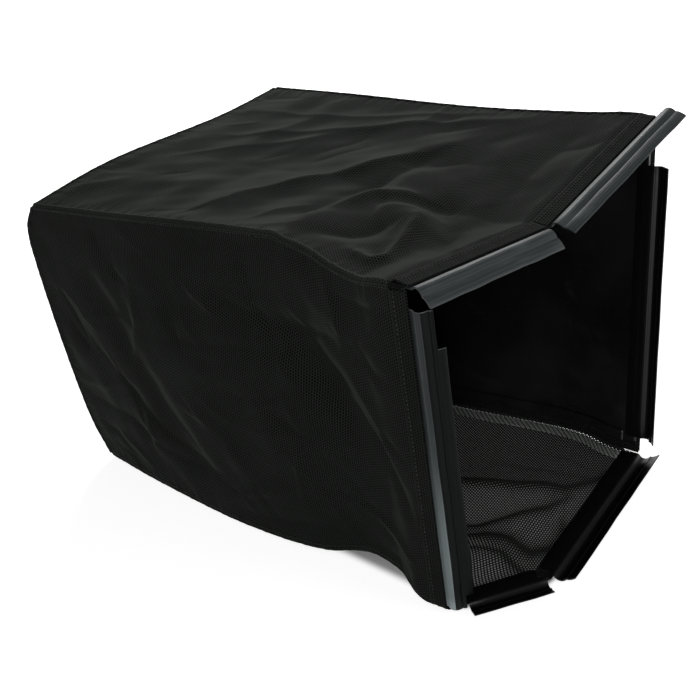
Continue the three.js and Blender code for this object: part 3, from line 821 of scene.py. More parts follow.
def mesh_cloth_material(name, sizes, colours, hole, open_holes, lift):
    """Black knitted mesh, its holes painted dark as painted shade. Seen along the cloth the threads hide the
    holes, so it looks smoother, and there it is painted paler as a painted sheen.
    """
    n, shader = new_material(name)
    shown_hole = hole
    if open_holes:
        # Fewer open holes where the cloth lies doubled: partly a painted shade of the creases
        doubled = n.add("Attribute", attribute_name="doubled").outputs["Fac"]
        shown_hole = n.times(n.less(1.0, doubled), hole)
    knit = n.effect("knitted mesh", Map=n.cloth_map(), Pitch=sizes.mesh_pitch, Hole=shown_hole)
    wear = n.effect("wear", Place=n.object_place())
    grazing = n.ramp(n.fill(n.add("LayerWeight"), Blend=0.5)["Facing"], *GRAZING)
    # pale is the cloth painted 1.6 times paler: a painted sheen, mixed in where the view slants
    base, pale = (
        n.mix(wear["Patches"], tone(colours.cloth, share), tone(colours.cloth_worn, share))
        for share in (lift, 1.6 * lift)
    )
    threads = n.math("MAXIMUM", knit["Height"], n.times(grazing, 0.7))
    # The holes take a dark tone, painted shade of the dark seen through them
    colour = n.mix(threads, tone(colours.cloth, HOLE_SHADE), n.mix(grazing, base, pale))
    n.fill(shader, Base_Color=colour, **DRY_CLOTH)
    if open_holes:
        n.fill(shader, Alpha=knit["Thread"])
    n.bump(shader, n.plus(knit["Height"], n.times(wear["Grain"], 0.3)), 0.6, 0.0005)


def tape_material(name, sizes, colours):
    n, shader = new_material(name)
    ribs = n.effect("twill", Map=n.cloth_map(), Pitch=sizes.twill_pitch)["Height"]
    # Between its ribs the tape is painted near-black: painted shade in the twill's valleys
    colour = n.mix(ribs, tone(colours.tape, 0.08), tone(colours.tape))
    n.fill(shader, Base_Color=colour, **DRY_CLOTH)
    n.bump(shader, ribs, 0.7, 0.0004)


def liner_material(colours):
    n, shader = new_material("coated liner")
    spot = n.object_place()
    wear = n.effect("wear", Place=spot)
    n.fill(
        shader,
        Base_Color=n.mix(wear["Patches"], tone(colours.liner), tone(colours.liner, 2.0)),
        Roughness=n.ramp(wear["Patches"], 0, 1, 0.26, 0.34),
        Specular_IOR_Level=0.5,
        Coat_Weight=0.2,
        Coat_Roughness=0.15,
    )
    n.bump(shader, n.plus(n.noise(spot, 26.0), n.times(wear["Grain"], 0.03)), 0.35, 0.004)


# The left channel is painted paler over this part of its run, a painted light from below, and painted
# near-white over this length in metres
PAINTED_LIGHT_FROM, PAINTED_LIGHT_TO = 0.36, 0.92
WHITENED = 0.012


def vinyl_material(name, colour, rough_low, rough_high, specular=0.5, pale_from=None):
    """Drawn vinyl. Given pale_from, in metres along its run, it is painted paler up to there as painted light
    from below, and painted near-white past that.
    """
    n, shader = new_material(name)
    spot = n.add("Attribute", attribute_name="drawn").outputs["Vector"]
    drawn = n.effect("drawn streaks", Place=spot)
    streaks = drawn["Streaks"]
    # Paler streaks along the run: die lines, with the reflections along them painted in
    worn = n.mix(streaks, tone(colour), tone(colour, 1.9, 0.004))
    worn = n.mix(n.times(drawn["Ribs"], 0.45), worn, tone(colour, 0.4))
    worn = n.mix(n.times(drawn["Scuffs"], 0.6), worn, tone(colour, 2.2))
    if pale_from:
        # Painted light from below: the colour grows paler towards the foot, and near-white at its end
        ragged = n.plus(n.split(spot)[2], n.times(streaks, 0.006))
        rubbed = n.ramp(ragged, PAINTED_LIGHT_FROM * pale_from, PAINTED_LIGHT_TO * pale_from)
        patchy = n.plus(0.5, n.times(streaks, 0.7))
        worn = n.mix(n.times(rubbed, patchy, clamp=True), worn, tone(colour, 10.5))
        whitened = n.ramp(ragged, pale_from, pale_from + WHITENED)
        worn = n.mix(n.times(whitened, 0.8), worn, tone(colour, 17))
    rough = n.ramp(streaks, 0.3, 0.7, rough_low, rough_high)
    n.fill(shader, Base_Color=worn, Roughness=rough, Specular_IOR_Level=specular)
    n.bump(shader, n.plus(streaks, drawn["Ribs"]), 0.3, 0.0003)


def thread_material(colours):
    n, shader = new_material("sewing thread")
    grain = n.effect("wear", Place=n.object_place())["Grain"]
    colour = n.mix(grain, tone(colours.thread, 0.5), tone(colours.thread))
    n.fill(shader, Base_Color=colour, Roughness=0.55, Specular_IOR_Level=0.35)
    n.bump(shader, grain, 0.5, 0.0002)


# What a user may change


def length_prop(name, description, default, low):
    return bpy.props.FloatProperty(
        name=name, description=description, default=default, min=low, unit="LENGTH"
    )


def colour_prop(name, description, default):
    return bpy.props.FloatVectorProperty(
        name=name, description=description, default=default, size=3, min=0, max=1, subtype="COLOR"
    )


class BagSizes(bpy.types.PropertyGroup):
    mesh_pitch: length_prop("Mesh pitch", "Step between the holes of the knitted mesh", 0.0029, 0.001)
    twill_pitch: length_prop("Twill pitch", "Step between the ribs of the tape", 0.005, 0.0005)
    cloth_thickness: length_prop("Cloth thickness", "Thickness of the mesh cloth", 0.0006, 0.0002)
    welt_radius: length_prop("Welt radius", "Radius of the rolled welt on the seams", 0.003, 0.001)
    stitch_step: length_prop("Stitch step", "Distance from stitch to stitch", 0.0042, 0.002)
    grid_step: length_prop("Cloth grid", "Distance between the points of the cloth", 0.003, 0.0015)


class BagColours(bpy.types.PropertyGroup):
    cloth: colour_prop("Mesh cloth", "Black knitted mesh", (0.022, 0.025, 0.022))
    cloth_worn: colour_prop("Mesh cloth, worn", "Where the mesh is rubbed or dusty", (0.028, 0.031, 0.028))
    tape: colour_prop("Tape", "Twill tape along the right floor seam", (0.33, 0.35, 0.33))
    thread: colour_prop("Thread", "Sewing thread", (0.040, 0.044, 0.042))
    liner: colour_prop("Liner", "Coated cloth inside the right side", (0.008, 0.008, 0.008))
    # The channels are one vinyl in two copies: a lit one, and a near-black one of painted shade
    vinyl_light: colour_prop("Vinyl, lit", "Two upper channels and the left one", (0.042, 0.049, 0.050))
    vinyl_in_painted_shade: colour_prop("Vinyl in painted shade", "Right channel and the two lower ones", (0.004, 0.004, 0.004))
    cut_end: colour_prop("Cut ends", "Pale cut ends of the left channel", (0.22, 0.24, 0.23))
    floor: colour_prop("Floor", "Pale studio floor", (0.8, 0.8, 0.8))


def settings():
    return bpy.context.scene.bag_sizes, bpy.context.scene.bag_colours


def steps(length, step):
    return max(2, int(round(length / step)) + 1)


# Operators

# Each mesh: name, width of its holes as a share of the pitch, whether they are open, and how pale it is
# painted: the one black mesh is made paler or darker piece by piece, painted light and shade
MESHES = (
    ("mesh cloth", 0.64, False, 1.25),
    ("floor mesh", 0.57, True, 1.0),
    ("mesh hem", 0.55, False, 0.9),
    ("mesh welt", 0.4, False, 1.5),
)


class BAG_OT_materials(bpy.types.Operator):
    """Makes the shader effects and the finishes"""

    bl_idname = "grass_bag.materials"
    bl_label = "Finishes"

    def execute(self, context):
        sizes, colours = settings()
        for make_group in (knitted_mesh_group, twill_group, wear_group, streak_group):
            make_group()
        for name, hole, open_holes, lift in MESHES:
            mesh_cloth_material(name, sizes, colours, hole, open_holes, lift)
        tape_material("twill tape", sizes, colours)
        liner_material(colours)
        light = colours.vinyl_light
        vinyl_material("vinyl, lit", light, 0.4, 0.55, 0.24)
        # The left channel's copy of the lit vinyl, darker at its top, with painted light towards its foot
        left_foot = (CHANNELS[2].length - PALE_END) * MM
        vinyl_material("vinyl, left", tone(light, 0.75), 0.4, 0.55, 0.16, left_foot)
        # The lip's copy, a tenth as pale: painted shade
        vinyl_material("vinyl, lip", tone(light, 0.1), 0.4, 0.6, 0.06)
        # The near-black copy: painted shade on the right and lower channels
        vinyl_material("vinyl, dark", colours.vinyl_in_painted_shade, 0.3, 0.42, 0.22)
        vinyl_material("vinyl, cut end", colours.cut_end, 0.5, 0.7)
        thread_material(colours)
        return {"FINISHED"}


# The shown cloth of a long panel stops this far short of the mouth's edge
CLOTH_STOP = 1.7


class BAG_OT_panels(bpy.types.Operator):
    """Makes the five mesh panels"""

    bl_idname = "grass_bag.panels"
    bl_label = "Mesh panels"

    def execute(self, context):
        sizes, _ = settings()
        step = sizes.grid_step / MM
        along, down, wide = (
            np.linspace(CLOTH_EDGE / length, 1 - stop / length, steps(length, step))
            for length, stop in ((BAG_LENGTH, CLOTH_STOP), (BAG_HEIGHT, CLOTH_EDGE), (BAG_WIDTH, CLOTH_EDGE))
        )
        flat_top = (BAG_WIDTH * MM, BAG_LENGTH * MM)
        side = (0.36, 0.55)
        for name, panel, ss, ts, node, flat, on in (
            ("cloth_top", top_panel, along, wide, "top_panel", flat_top, "channel_top_left"),
            ("cloth_left", left_panel, along, down, "side_panel_left", side, "channel_left"),
            ("cloth_right", right_panel, along, down, "side_panel_right", side, "channel_right"),
            ("cloth_bottom", floor_panel, along, wide, "bottom_panel", (0.29, 0.56), "channel_bottom_right"),
            ("cloth_rear", rear_panel, down, wide, "rear_panel", (0.37, 0.36), "piping_top_rear"),
        ):
            on_floor = panel is floor_panel
            cloth = cloth_grid(name, panel, ss, ts, sewn=not on_floor)
            if on_floor:
                mark_doubled(cloth, ss, ts)
            else:
                thicken(cloth, sizes.cloth_thickness)
            sheet_piece(cloth, "floor mesh" if on_floor else "mesh cloth", (node,))
        return {"FINISHED"}


# The shown liner is thin enough to run on under the flange, so its front edge is hidden.
LINER_EDGE, LINER_FRONT = 5.1, 4
LINER_DEPTH = -(FABRIC / 2 + SEWING_GAP)
TAPE_IN, TAPE_DEPTH = 8, -1.6
LINER_THICKNESS, HEM_THICKNESS, TAPE_THICKNESS = 0.4, 1, 0.8


class BAG_OT_liner(bpy.types.Operator):
    """Makes the coated liner of the right side, its hem, and the tape on the floor along the right seam"""

    bl_idname = "grass_bag.liner"
    bl_label = "Liner"

    def execute(self, context):
        foot = 1 - LINER_FOOT / BAG_HEIGHT
        behind_flange = 1 - (FLANGE + 2) / BAG_LENGTH
        start = LINER_EDGE / BAG_LENGTH
        in_from, in_to = ((SEAM_TAPE + TAPE_IN) / floor_panel.width, TAPE_IN / floor_panel.width)
        # Piece, panel, reach along and across it as (from, to, points), depth, thickness, and what it is of
        for name, panel, on, across, depth, thickness, slot, material, nodes, flat, under in (
            (
                "liner_sheet", right_panel, (start, 1 - LINER_FRONT / BAG_LENGTH, 140),
                (LINER_EDGE / BAG_HEIGHT, foot, 80), LINER_DEPTH, LINER_THICKNESS,
                "coated_liner", "coated liner", ("side_liner",), (0.35, 0.54), "cloth_right",
            ),
            (
                "liner_tape", right_panel, (start, behind_flange, 180),
                (foot - LINER_BAND / BAG_HEIGHT, foot, 9), LINER_DEPTH - 1.5, HEM_THICKNESS,
                "hem_tape", "coated liner", ("liner_hem",), (0.012, 0.56), "liner_sheet",
            ),
            (
                "seam_tape", floor_panel, (9 / BAG_LENGTH, behind_flange, 180),
                (1 - in_from, 1 - in_to, 7), TAPE_DEPTH, TAPE_THICKNESS,
                "hem_tape", "twill tape", (), (SEAM_TAPE * MM, 0.56), "cloth_bottom",
            ),
        ):
            sheet = cloth_grid(name, panel, np.linspace(*on), np.linspace(*across), depth)
            thicken(sheet, thickness * MM)
            sheet_piece(sheet, material, nodes)
        return {"FINISHED"}


# Each hem's panel, and where it starts and stops across it
CORNER, JOINT_GAP = 0.008, 0.002
HEMS = (
    ("hem_top_left", top_panel, CORNER, TOP_JOINT_SHARE - JOINT_GAP),
    ("hem_top_right", top_panel, TOP_JOINT_SHARE + JOINT_GAP, 1 - CORNER),
    ("hem_left", left_panel, CORNER, 1 - CORNER),
    ("hem_right", right_panel, CORNER, 1 - CORNER),
    ("hem_bottom_left", floor_panel, CORNER, FLOOR_JOINT_SHARE - JOINT_GAP),
    ("hem_bottom_right", floor_panel, FLOOR_JOINT_SHARE + JOINT_GAP, 1 - CORNER),
)
# The hem's section: distance behind the mouth's edge and height over the panel's middle, in millimetres
HEM_SECTION = (
    (18.4, 0.1), (17.4, 1.1), (16.4, 2.3), (15.4, 3.0), (14.4, 3.1), (13.2, 2.7), (11.5, 2.3), (8.0, 1.7),
    (5.0, 1.2), (2.5, 0.9), (0.8, 0.7), (0.0, 0.3), (0.0, -0.2),
)
HEM_BACK, HEM_STEP = 0.6, 2.0
STITCH_LINE, STITCH_HEIGHT = 12.4, 2.75


class BAG_OT_hems(bpy.types.Operator):
    """Makes the folded hems round the mouth and their stitches"""

    bl_idname = "grass_bag.hems"
    bl_label = "Hems"

    def execute(self, context):
        sizes, _ = settings()
        section = np.array(HEM_SECTION)
        ss = 1 - (section[:, 0] + HEM_BACK) / BAG_LENGTH
        for name, panel, t0, t1 in HEMS:
            ts = np.linspace(t0, t1, steps((t1 - t0) * panel.width, HEM_STEP))

            def height(s, t):
                q = TURN * t * panel.width
                wave = 1 + 0.07 * np.sin(q / 23) + 0.02 * np.sin(q / 9.3)
                return np.repeat(section[:, 1], len(ts)) * wave

            hem = panel_mesh(name + "_band", panel, ss, ts, height)
            thicken(hem, sizes.cloth_thickness)
            finish_piece(hem, "mesh hem", (name,))
            line = np.linspace(t0, t1, 200)
            at = np.full_like(line, 1 - (STITCH_LINE + HEM_BACK) / BAG_LENGTH)
            stitch_row(name, panel, at, line, STITCH_HEIGHT, sizes, "hem_tape")
        return {"FINISHED"}


# A stitch: where its rings of points lie along it, how wide each is, and how far it sinks into the cloth
STITCH_RINGS = ((-1, 0.35, -0.45), (-0.55, 0.95, 0), (0, 1, 0.05), (0.55, 0.95, 0), (1, 0.35, -0.45))
STITCH_RADIUS, STITCH_REACH = 0.33, 0.36
STITCH_SIDES = 6


def stitch_row(name, panel, s, t, height, sizes, slot):
    """Short threads lying one after another along a line on a panel."""
    normals = panel.normal(s, t)
    run = panel.surface(s, t) + normals * height
    gone = run_lengths(run)
    step = sizes.stitch_step / MM
    count = max(1, int(gone[-1] // step))

    def read(at, values):
        return np.array([np.interp(at, gone, values[:, a]) for a in range(3)])

    verts, faces = [], []
    for k in range(count):
        middle = (k + 0.5) * gone[-1] / count
        spots = [read(middle + share * STITCH_REACH * step, run) for share, _, _ in STITCH_RINGS]
        ahead = spots[-1] - spots[0]
        ahead /= np.linalg.norm(ahead)
        up = read(middle, normals)
        up -= ahead * (up @ ahead)
        up /= np.linalg.norm(up)
        side = np.cross(ahead, up)
        base = len(verts)
        for spot, (_, size, sink) in zip(spots, STITCH_RINGS):
            radius = STITCH_RADIUS * size
            for a in np.linspace(0, TURN, STITCH_SIDES, endpoint=False):
                verts.append(spot + up * (sink + radius * math.sin(a)) + side * radius * math.cos(a))
        starts = [base + r * STITCH_SIDES for r in range(len(STITCH_RINGS))]
        rings = [range(first, first + STITCH_SIDES) for first in starts]
        for near, far in zip(rings, rings[1:]):
            for c in range(STITCH_SIDES):
                d = (c + 1) % STITCH_SIDES
                faces.append((near[c], near[d], far[d], far[c]))
        faces += [tuple(reversed(rings[0])), tuple(rings[-1])]
    obj = mesh_object(name + "_stitches", verts, faces)
    edit_faces(obj, bpy.ops.mesh.normals_make_consistent, inside=False)
    bpy.ops.object.shade_smooth()
    finish_piece(obj, "sewing thread")


# A welt lies on one side of each of two panels. A side has a fixed s or t, and the other runs along it.
SIDES = {"first": (None, 0), "last": (None, 1), "rear": (0, None), "foot": (1, None)}
WELT_START = 7.1 / BAG_HEIGHT / 3
LONG_STOP, SHORT_STOP = 1 - 19 / BAG_LENGTH, 1 - WELT_START
# Each welt: node, the two panels with the side of each that it lies on, where it stops along the seam, size
WELTS = (
    ("piping_top_left", top_panel, "first", left_panel, "first", LONG_STOP, 0.9),
    ("piping_top_right", top_panel, "last", right_panel, "first", LONG_STOP, 0.5),
    ("piping_bottom_left", floor_panel, "first", left_panel, "last", LONG_STOP, 0.5),
    ("piping_bottom_right", floor_panel, "last", right_panel, "last", LONG_STOP, 0.6),
    ("piping_top_rear", top_panel, "rear", rear_panel, "rear", SHORT_STOP, 0.5),
    ("piping_bottom_rear", floor_panel, "rear", rear_panel, "foot", SHORT_STOP, 0.6),
    ("piping_rear_left", left_panel, "rear", rear_panel, "first", SHORT_STOP, 0.5),
    ("piping_rear_right", right_panel, "rear", rear_panel, "last", SHORT_STOP, 0.6),
)
# Height and wavelength of a welt's lumps
LUMPS = ((0.05, 9.5), (0.05, 14), (0.06, 31))
NEAR_SEAM, WELT_STEP = 0.02, 2.2
WELT_STITCHES_IN, WELT_STITCHES_UP = 4.2 / BAG_HEIGHT, 0.55


def on_side(u, side, depth=0.0):
    """Places along a panel's side, or the given depth in from it."""
    return [u if end is None else np.full_like(u, abs(end - depth)) for end in SIDES[side]]


class BAG_OT_welts(bpy.types.Operator):
    """Makes the rolled welts on the seams, with the small ridge and the stitches beside them"""

    bl_idname = "grass_bag.welts"
    bl_label = "Welts"

    def execute(self, context):
        sizes, _ = settings()
        radius = sizes.welt_radius / MM
        for k, (node, a, side_a, b, side_b, stop, size) in enumerate(WELTS):
            u = np.linspace(WELT_START, stop, steps(BAG_LENGTH, WELT_STEP))
            path = a.surface(*on_side(u, side_a))
            inside_a = on_side(u, side_a, NEAR_SEAM)
            na, nb = a.normal(*inside_a), b.normal(*on_side(u, side_b, NEAR_SEAM))
            out = unit(na + nb)
            into_a = unit(a.surface(*inside_a) - path)
            rng = np.random.default_rng(40 + k)
            run = TURN * run_lengths(path)
            lumps = sum(height * np.sin(run / length + rng.uniform(0, 6)) for height, length in LUMPS)
            roll_path = path + (into_a * 1.4 + na * 0.9) * size
            roll = tube(node + "_roll", roll_path, radius * size * (0.9 + lumps), out, 14)
            ridge_path = path - (into_a * 0.4 - nb * 0.7 + na * 1.2) * size
            ridge = tube(node + "_ridge", ridge_path, 1.35 * size * (1 + lumps), out, 10)
            finish_piece(join(node + "_welt", [roll, ridge]), "mesh welt", (node,))
            stitch_row(node, b, *on_side(u, side_b, WELT_STITCHES_IN), WELT_STITCHES_UP, sizes, "piping")
        return {"FINISHED"}


# Channels

SEAT_RADIUS = ROD / 2 + ROD_PLAY + WALL / 2
SEAT_ROOT = 1.2
FLANGE_Y = -(FABRIC / 2 + 2 * SEWING_GAP + WALL / 2)
SEAT_FLATNESS = 0.9
SEAT_FROM, SEAT_TO = math.radians(170), math.radians(52)
NOTCH_X = SEAT_ROOT + SEAT_RADIUS * (1 + math.cos(math.radians(8)))
FLANGE_STATIONS = (-FLANGE, -FLANGE + 0.6, -FLANGE / 2, -2, 0)
# The shown face in front of the seat: distance forward and height over the flange
FACE_LINE = (
    (12.2, 3.7), (12.9, 3.1), (13.4, 2.45), (13.9, 2.3), (14.4, 2.6), (15.2, 2.75), (16.5, 2.55),
    (18.0, 2.15), (19.5, 1.6), (21.0, 0.95), (22.5, 0.2), (23.6, -0.45), (24.3, -0.95),
)


def channel_line(lean):
    """Middle of the channel's wall, from the flange's edge to the lip's, with x forward and y outward."""
    angles = np.linspace(SEAT_FROM, SEAT_TO, 24)
    arc = SEAT_RADIUS * np.stack([1 + np.cos(angles), SEAT_FLATNESS * np.sin(angles)], axis=1)
    bent = np.vstack([arc + (SEAT_ROOT, 0), FACE_LINE])
    c, s = math.cos(math.radians(lean)), -math.sin(math.radians(lean))
    flange = [(x, 0) for x in FLANGE_STATIONS]
    return np.vstack([flange, bent @ np.array(((c, s), (-s, c)))]) + (0, FLANGE_Y)


def wall_thickness(count):
    """The wall thins at both edges of the section."""
    thick = np.full(count, WALL)
    thick[:2] *= (0.5, 0.95)
    thick[-2:] *= (0.8, 0.4)
    return thick


class Channel:
    """A straight run of channel along the mouth's edge, in its own frame: x forward, y across, z along."""

    def __init__(self, name, panel, share, start, stop, gaps, lip_cuts=(0, 0), flange_cuts=(0, 0)):
        self.name, self.lean, self.lip_cuts, self.flange_cuts = name, LEAN[name], lip_cuts, flange_cuts
        self.run = (stop - start) / np.linalg.norm(stop - start)
        ahead = FORWARD - self.run * (FORWARD @ self.run)
        self.ahead = ahead / np.linalg.norm(ahead)
        self.across = np.cross(self.run, self.ahead)
        self.flip = math.copysign(1, self.across @ panel.normal(0.999, share)[0])
        self.length = np.linalg.norm(stop - start) - gaps[0] - gaps[1]
        self.start = start + self.run * gaps[0]

    def matrix(self):
        turn = Matrix(np.stack([self.ahead, self.across, self.run], axis=1).tolist()).to_4x4()
        return Matrix.Translation(Vector((self.start + SHIFT) * MM)) @ turn


UNDER_LIP = ROD + LIP
BOTH_GAPS, NO_CUTS = (CHANNEL_GAP, CHANNEL_GAP), (0, 0)
short_floor, long_floor = floor_joint - mouth_foot_left, mouth_foot_right - floor_joint
floor_turn = math.acos(short_floor @ long_floor / np.linalg.norm(short_floor) / np.linalg.norm(long_floor))
FLANGE_BACK = FLANGE * math.tan(floor_turn / 2)
TOP_MIDDLES = TOP_JOINT_SHARE / 2, (1 + TOP_JOINT_SHARE) / 2
FLOOR_MIDDLES = FLOOR_JOINT_SHARE / 2, (1 + FLOOR_JOINT_SHARE) / 2
CHANNELS = (
    Channel("top_left", top_panel, TOP_MIDDLES[0], mouth_top_left, top_joint, BOTH_GAPS),
    Channel(
        "top_right", top_panel, TOP_MIDDLES[1], top_joint, mouth_top_right, (CHANNEL_GAP, -TOP_OVERRUN),
        NO_CUTS, (0, TOP_OVERRUN + CHANNEL_GAP),
    ),
    Channel("left", left_panel, 0.5, mouth_top_left, mouth_foot_left, (UNDER_LIP, CHANNEL_GAP), LIP_CUTS),
    Channel("right", right_panel, 0.5, mouth_top_right, mouth_foot_right, RIGHT_GAPS),
    Channel(
        "bottom_left", floor_panel, FLOOR_MIDDLES[0], mouth_foot_left, floor_joint, (UNDER_LIP, CHANNEL_GAP),
        NO_CUTS, (0, FLANGE_BACK),
    ),
    Channel(
        "bottom_right", floor_panel, FLOOR_MIDDLES[1], floor_joint, mouth_foot_right, BOTH_GAPS,
        NO_CUTS, (FLANGE_BACK, 0),
    ),
)
# On the left channel, what lies further forward than this is its lip, painted dark as painted shade
LIP_FROM = 9.6
# The last millimetres of the left channel, painted near-white
PALE_END = 13
# The upper channels take the lit vinyl, the left its own copy with painted light, and the rest the near-black
# copy in painted shade
FINISH = {"top_left": "vinyl, lit", "top_right": "vinyl, lit", "left": "vinyl, left"}
BOX_REACH, BOX_SIDE = 40, 30


def cut_away(obj, low, high, turn=Matrix()):
    """Cuts a box off a channel, from corner to corner in millimetres of its own frame."""
    low, high = np.array(low, float), np.array(high, float)
    bpy.ops.mesh.primitive_cube_add(size=1)
    box = bpy.context.active_object
    middle = Matrix.Translation(Vector((low + high) / 2 * MM))
    box.data.transform(turn @ middle @ Matrix.Diagonal(Vector((*((high - low) * MM), 1))))
    only(obj)
    mod = obj.modifiers.new("cut", "BOOLEAN")
    mod.operation, mod.solver, mod.object = "DIFFERENCE", "EXACT", box
    bpy.ops.object.modifier_apply(modifier=mod.name)
    bpy.data.objects.remove(box)


def cut_ends(obj, channel, cuts, x_from, x_to, turn=Matrix()):
    """Cuts the channel's section between two x back from its start and its end."""
    stretches = ((-1, cuts[0]), (channel.length - cuts[1], channel.length + 1))
    for cut, (z_from, z_to) in zip(cuts, stretches):
        if cut:
            cut_away(obj, (x_from, -BOX_SIDE, z_from), (x_to, BOX_SIDE, z_to), turn)


def drawn_strip(channel):
    """The channel's section, pulled out along its run."""
    line = channel_line(channel.lean)
    tangent = unit(np.gradient(line, axis=0))
    normal = np.stack([-tangent[:, 1], tangent[:, 0]], axis=1)
    half = wall_thickness(len(line)) / 2
    bpy.ops.object.select_all(action="DESELECT")
    bpy.ops.mesh.primitive_grid_add(x_subdivisions=1, y_subdivisions=len(line) - 1, size=MM)
    obj = bpy.context.active_object
    obj.name = obj.data.name = f"strip_{channel.name}"
    order = sorted(obj.data.vertices, key=lambda v: (round(v.co.y, 7), v.co.x))
    for i in range(len(line)):
        for vert, sign in zip(order[2 * i : 2 * i + 2], (-1, 1)):
            x, y = line[i] + normal[i] * half[i] * sign
            vert.co = Vector((x, channel.flip * y, 0)) * MM
    bpy.ops.object.mode_set(mode="EDIT")
    bpy.ops.mesh.select_all(action="SELECT")
    pulls = max(4, int(channel.length / 18))
    pull = {"value": (0, 0, channel.length / pulls * MM)}
    for _ in range(pulls):
        bpy.ops.mesh.extrude_region_move(TRANSFORM_OT_translate=pull)
    bpy.ops.object.mode_set(mode="OBJECT")
    edit_faces(obj, bpy.ops.mesh.normals_make_consistent, inside=False)
    return obj


def sway_channel(obj, channel, seed):
    """Keeps the straight places for the shader, then bends the face a little along the run."""
    mesh = obj.data
    drawn = mesh.attributes.new("drawn", "FLOAT_VECTOR", "POINT")
    co = np.empty(len(mesh.vertices) * 3)
    mesh.vertices.foreach_get("co", co)
    drawn.data.foreach_set("vector", co)
    co = co.reshape(-1, 3)
    share = co[:, 2] / (channel.length * MM)
    rng = np.random.default_rng(seed)
    waves = (1.0, 2.3, 4.1)
    sway = sum(rng.uniform(0.15, 0.3) * np.sin(TURN * (share * n + rng.uniform(0, 1))) for n in waves)
    co[:, 1] += channel.flip * sway * smoothstep(co[:, 0] / MM, 0, NOTCH_X) * MM
    mesh.vertices.foreach_set("co", co.ravel())


class BAG_OT_channels(bpy.types.Operator):
    """Makes the six vinyl channels: a drawn section pulled out along the mouth"""

    bl_idname = "grass_bag.channels"
    bl_label = "Channels"

    def execute(self, context):
        for k, channel in enumerate(CHANNELS):
            obj = drawn_strip(channel)
            lean = Matrix.Rotation(-channel.flip * math.radians(channel.lean), 4, "Z")
            pivot = Matrix.Translation(Vector((0, channel.flip * FLANGE_Y, 0)) * MM)
            leant = pivot @ lean @ pivot.inverted()
            cut_ends(obj, channel, channel.lip_cuts, NOTCH_X + LIP_STUB, NOTCH_X + BOX_REACH, leant)
            cut_ends(obj, channel, channel.flange_cuts, -BOX_REACH, -WALL)
            bevel = obj.modifiers.new("soft ends", "BEVEL")
            bevel.width, bevel.segments, bevel.limit_method = 0.25 * MM, 2, "ANGLE"
            bevel.angle_limit = math.radians(55)
            apply_modifiers(obj)
            sway_channel(obj, channel, 70 + k)
            obj.data.transform(channel.matrix())
            obj.data.update()
            only(obj)
            bpy.ops.object.shade_smooth_by_angle(angle=math.radians(40))
            finish = FINISH.get(channel.name, "vinyl, dark")
            finish_piece(obj, finish, (f"channel_{channel.name}",))
            if channel.name == "left":
                self.dress_left(obj.data, Vector(channel.run))
        return {"FINISHED"}

    def dress_left(self, mesh, run):
        mesh.materials.append(bpy.data.materials["vinyl, cut end"])
        mesh.materials.append(bpy.data.materials["vinyl, lip"])
        drawn = mesh.attributes["drawn"]
        for face in mesh.polygons:
            ahead = min(drawn.data[v].vector[0] for v in face.vertices) / MM
            if abs(face.normal.dot(run)) > 0.8:
                face.material_index = 1
            elif ahead > LIP_FROM:
                # the lip, in painted shade
                face.material_index = 2


# Stage

CAMERA_AT = (-716.903, -838.595, 725.51)
CAMERA_RIGHT = (0.6771, -0.7073, -0.2033)
CAMERA_UP = (0.4768, 0.2112, 0.8533)
PICTURE = 700
FOCAL_PIXELS = 1127.0


class BAG_OT_camera(bpy.types.Operator):
    """Places the camera as the photograph was taken"""

    bl_idname = "grass_bag.camera"
    bl_label = "Camera"

    def execute(self, context):
        data = bpy.data.cameras.new("camera")
        camera = bpy.data.objects.new("camera", data)
        context.collection.objects.link(camera)
        data.sensor_width = 36
        data.lens = FOCAL_PIXELS / PICTURE * data.sensor_width
        data.clip_start, data.clip_end = 0.01, 100
        right = Vector(CAMERA_RIGHT).normalized()
        up = Vector(CAMERA_UP)
        up = (up - right * up.dot(right)).normalized()
        turn = Matrix((right, up, right.cross(up))).transposed().to_4x4()
        camera.matrix_world = Matrix.Translation(Vector(CAMERA_AT) * MM) @ turn
        context.scene.camera = camera
        return {"FINISHED"}


def area_lamp(name, at, towards, size, power):
    data = bpy.data.lights.new(name, "AREA")
    data.shape, data.size, data.energy = "DISK", size, power
    lamp = bpy.data.objects.new(name, data)
    bpy.context.collection.objects.link(lamp)
    at, towards = Vector(at), Vector(towards)
    lamp.matrix_world = Matrix.Translation(at) @ (at - towards).to_track_quat("Z", "Y").to_matrix().to_4x4()


# Glow of the floor as the camera sees it: by the bag, far off, and the share of it left under the bag, a
# painted shadow
GLOW_NEAR, GLOW_FAR, GLOW_IN_PAINTED_SHADOW = 0.83, 1.2, 0.083
GLOW_GROWS = (0.5, 1.3)
# Where the floor lies under the bag's cloth and its shadow is painted, in metres, with the width of the
# change at each edge
UNDER_LEFT, UNDER_RIGHT, UNDER_REAR = (-0.184, -0.166), (0.094, 0.112), (0.27, 0.3)
UNDER_FRONT = (-0.006, 0.006)
AMBIENT = 0.16
FLOOR_SIZE, FLOOR_DROP = 60, 0.0004
BACKDROP_AWAY, BACKDROP_HEIGHT = 29, 8
# Name, place, aim, size and power of each lamp, in metres and watts
LAMPS = (
    ("key above the far side", (1.4, 1.0, 1.5), (0.0, 0.0, 0.3), 1.1, 27),
    ("left fill", (-1.75, -1.6, 0.95), (-0.1, 0.0, 0.15), 0.6, 10),
    ("front fill", (0.3, -2.2, 0.9), (0.05, 0.0, 0.1), 0.8, 7),
)


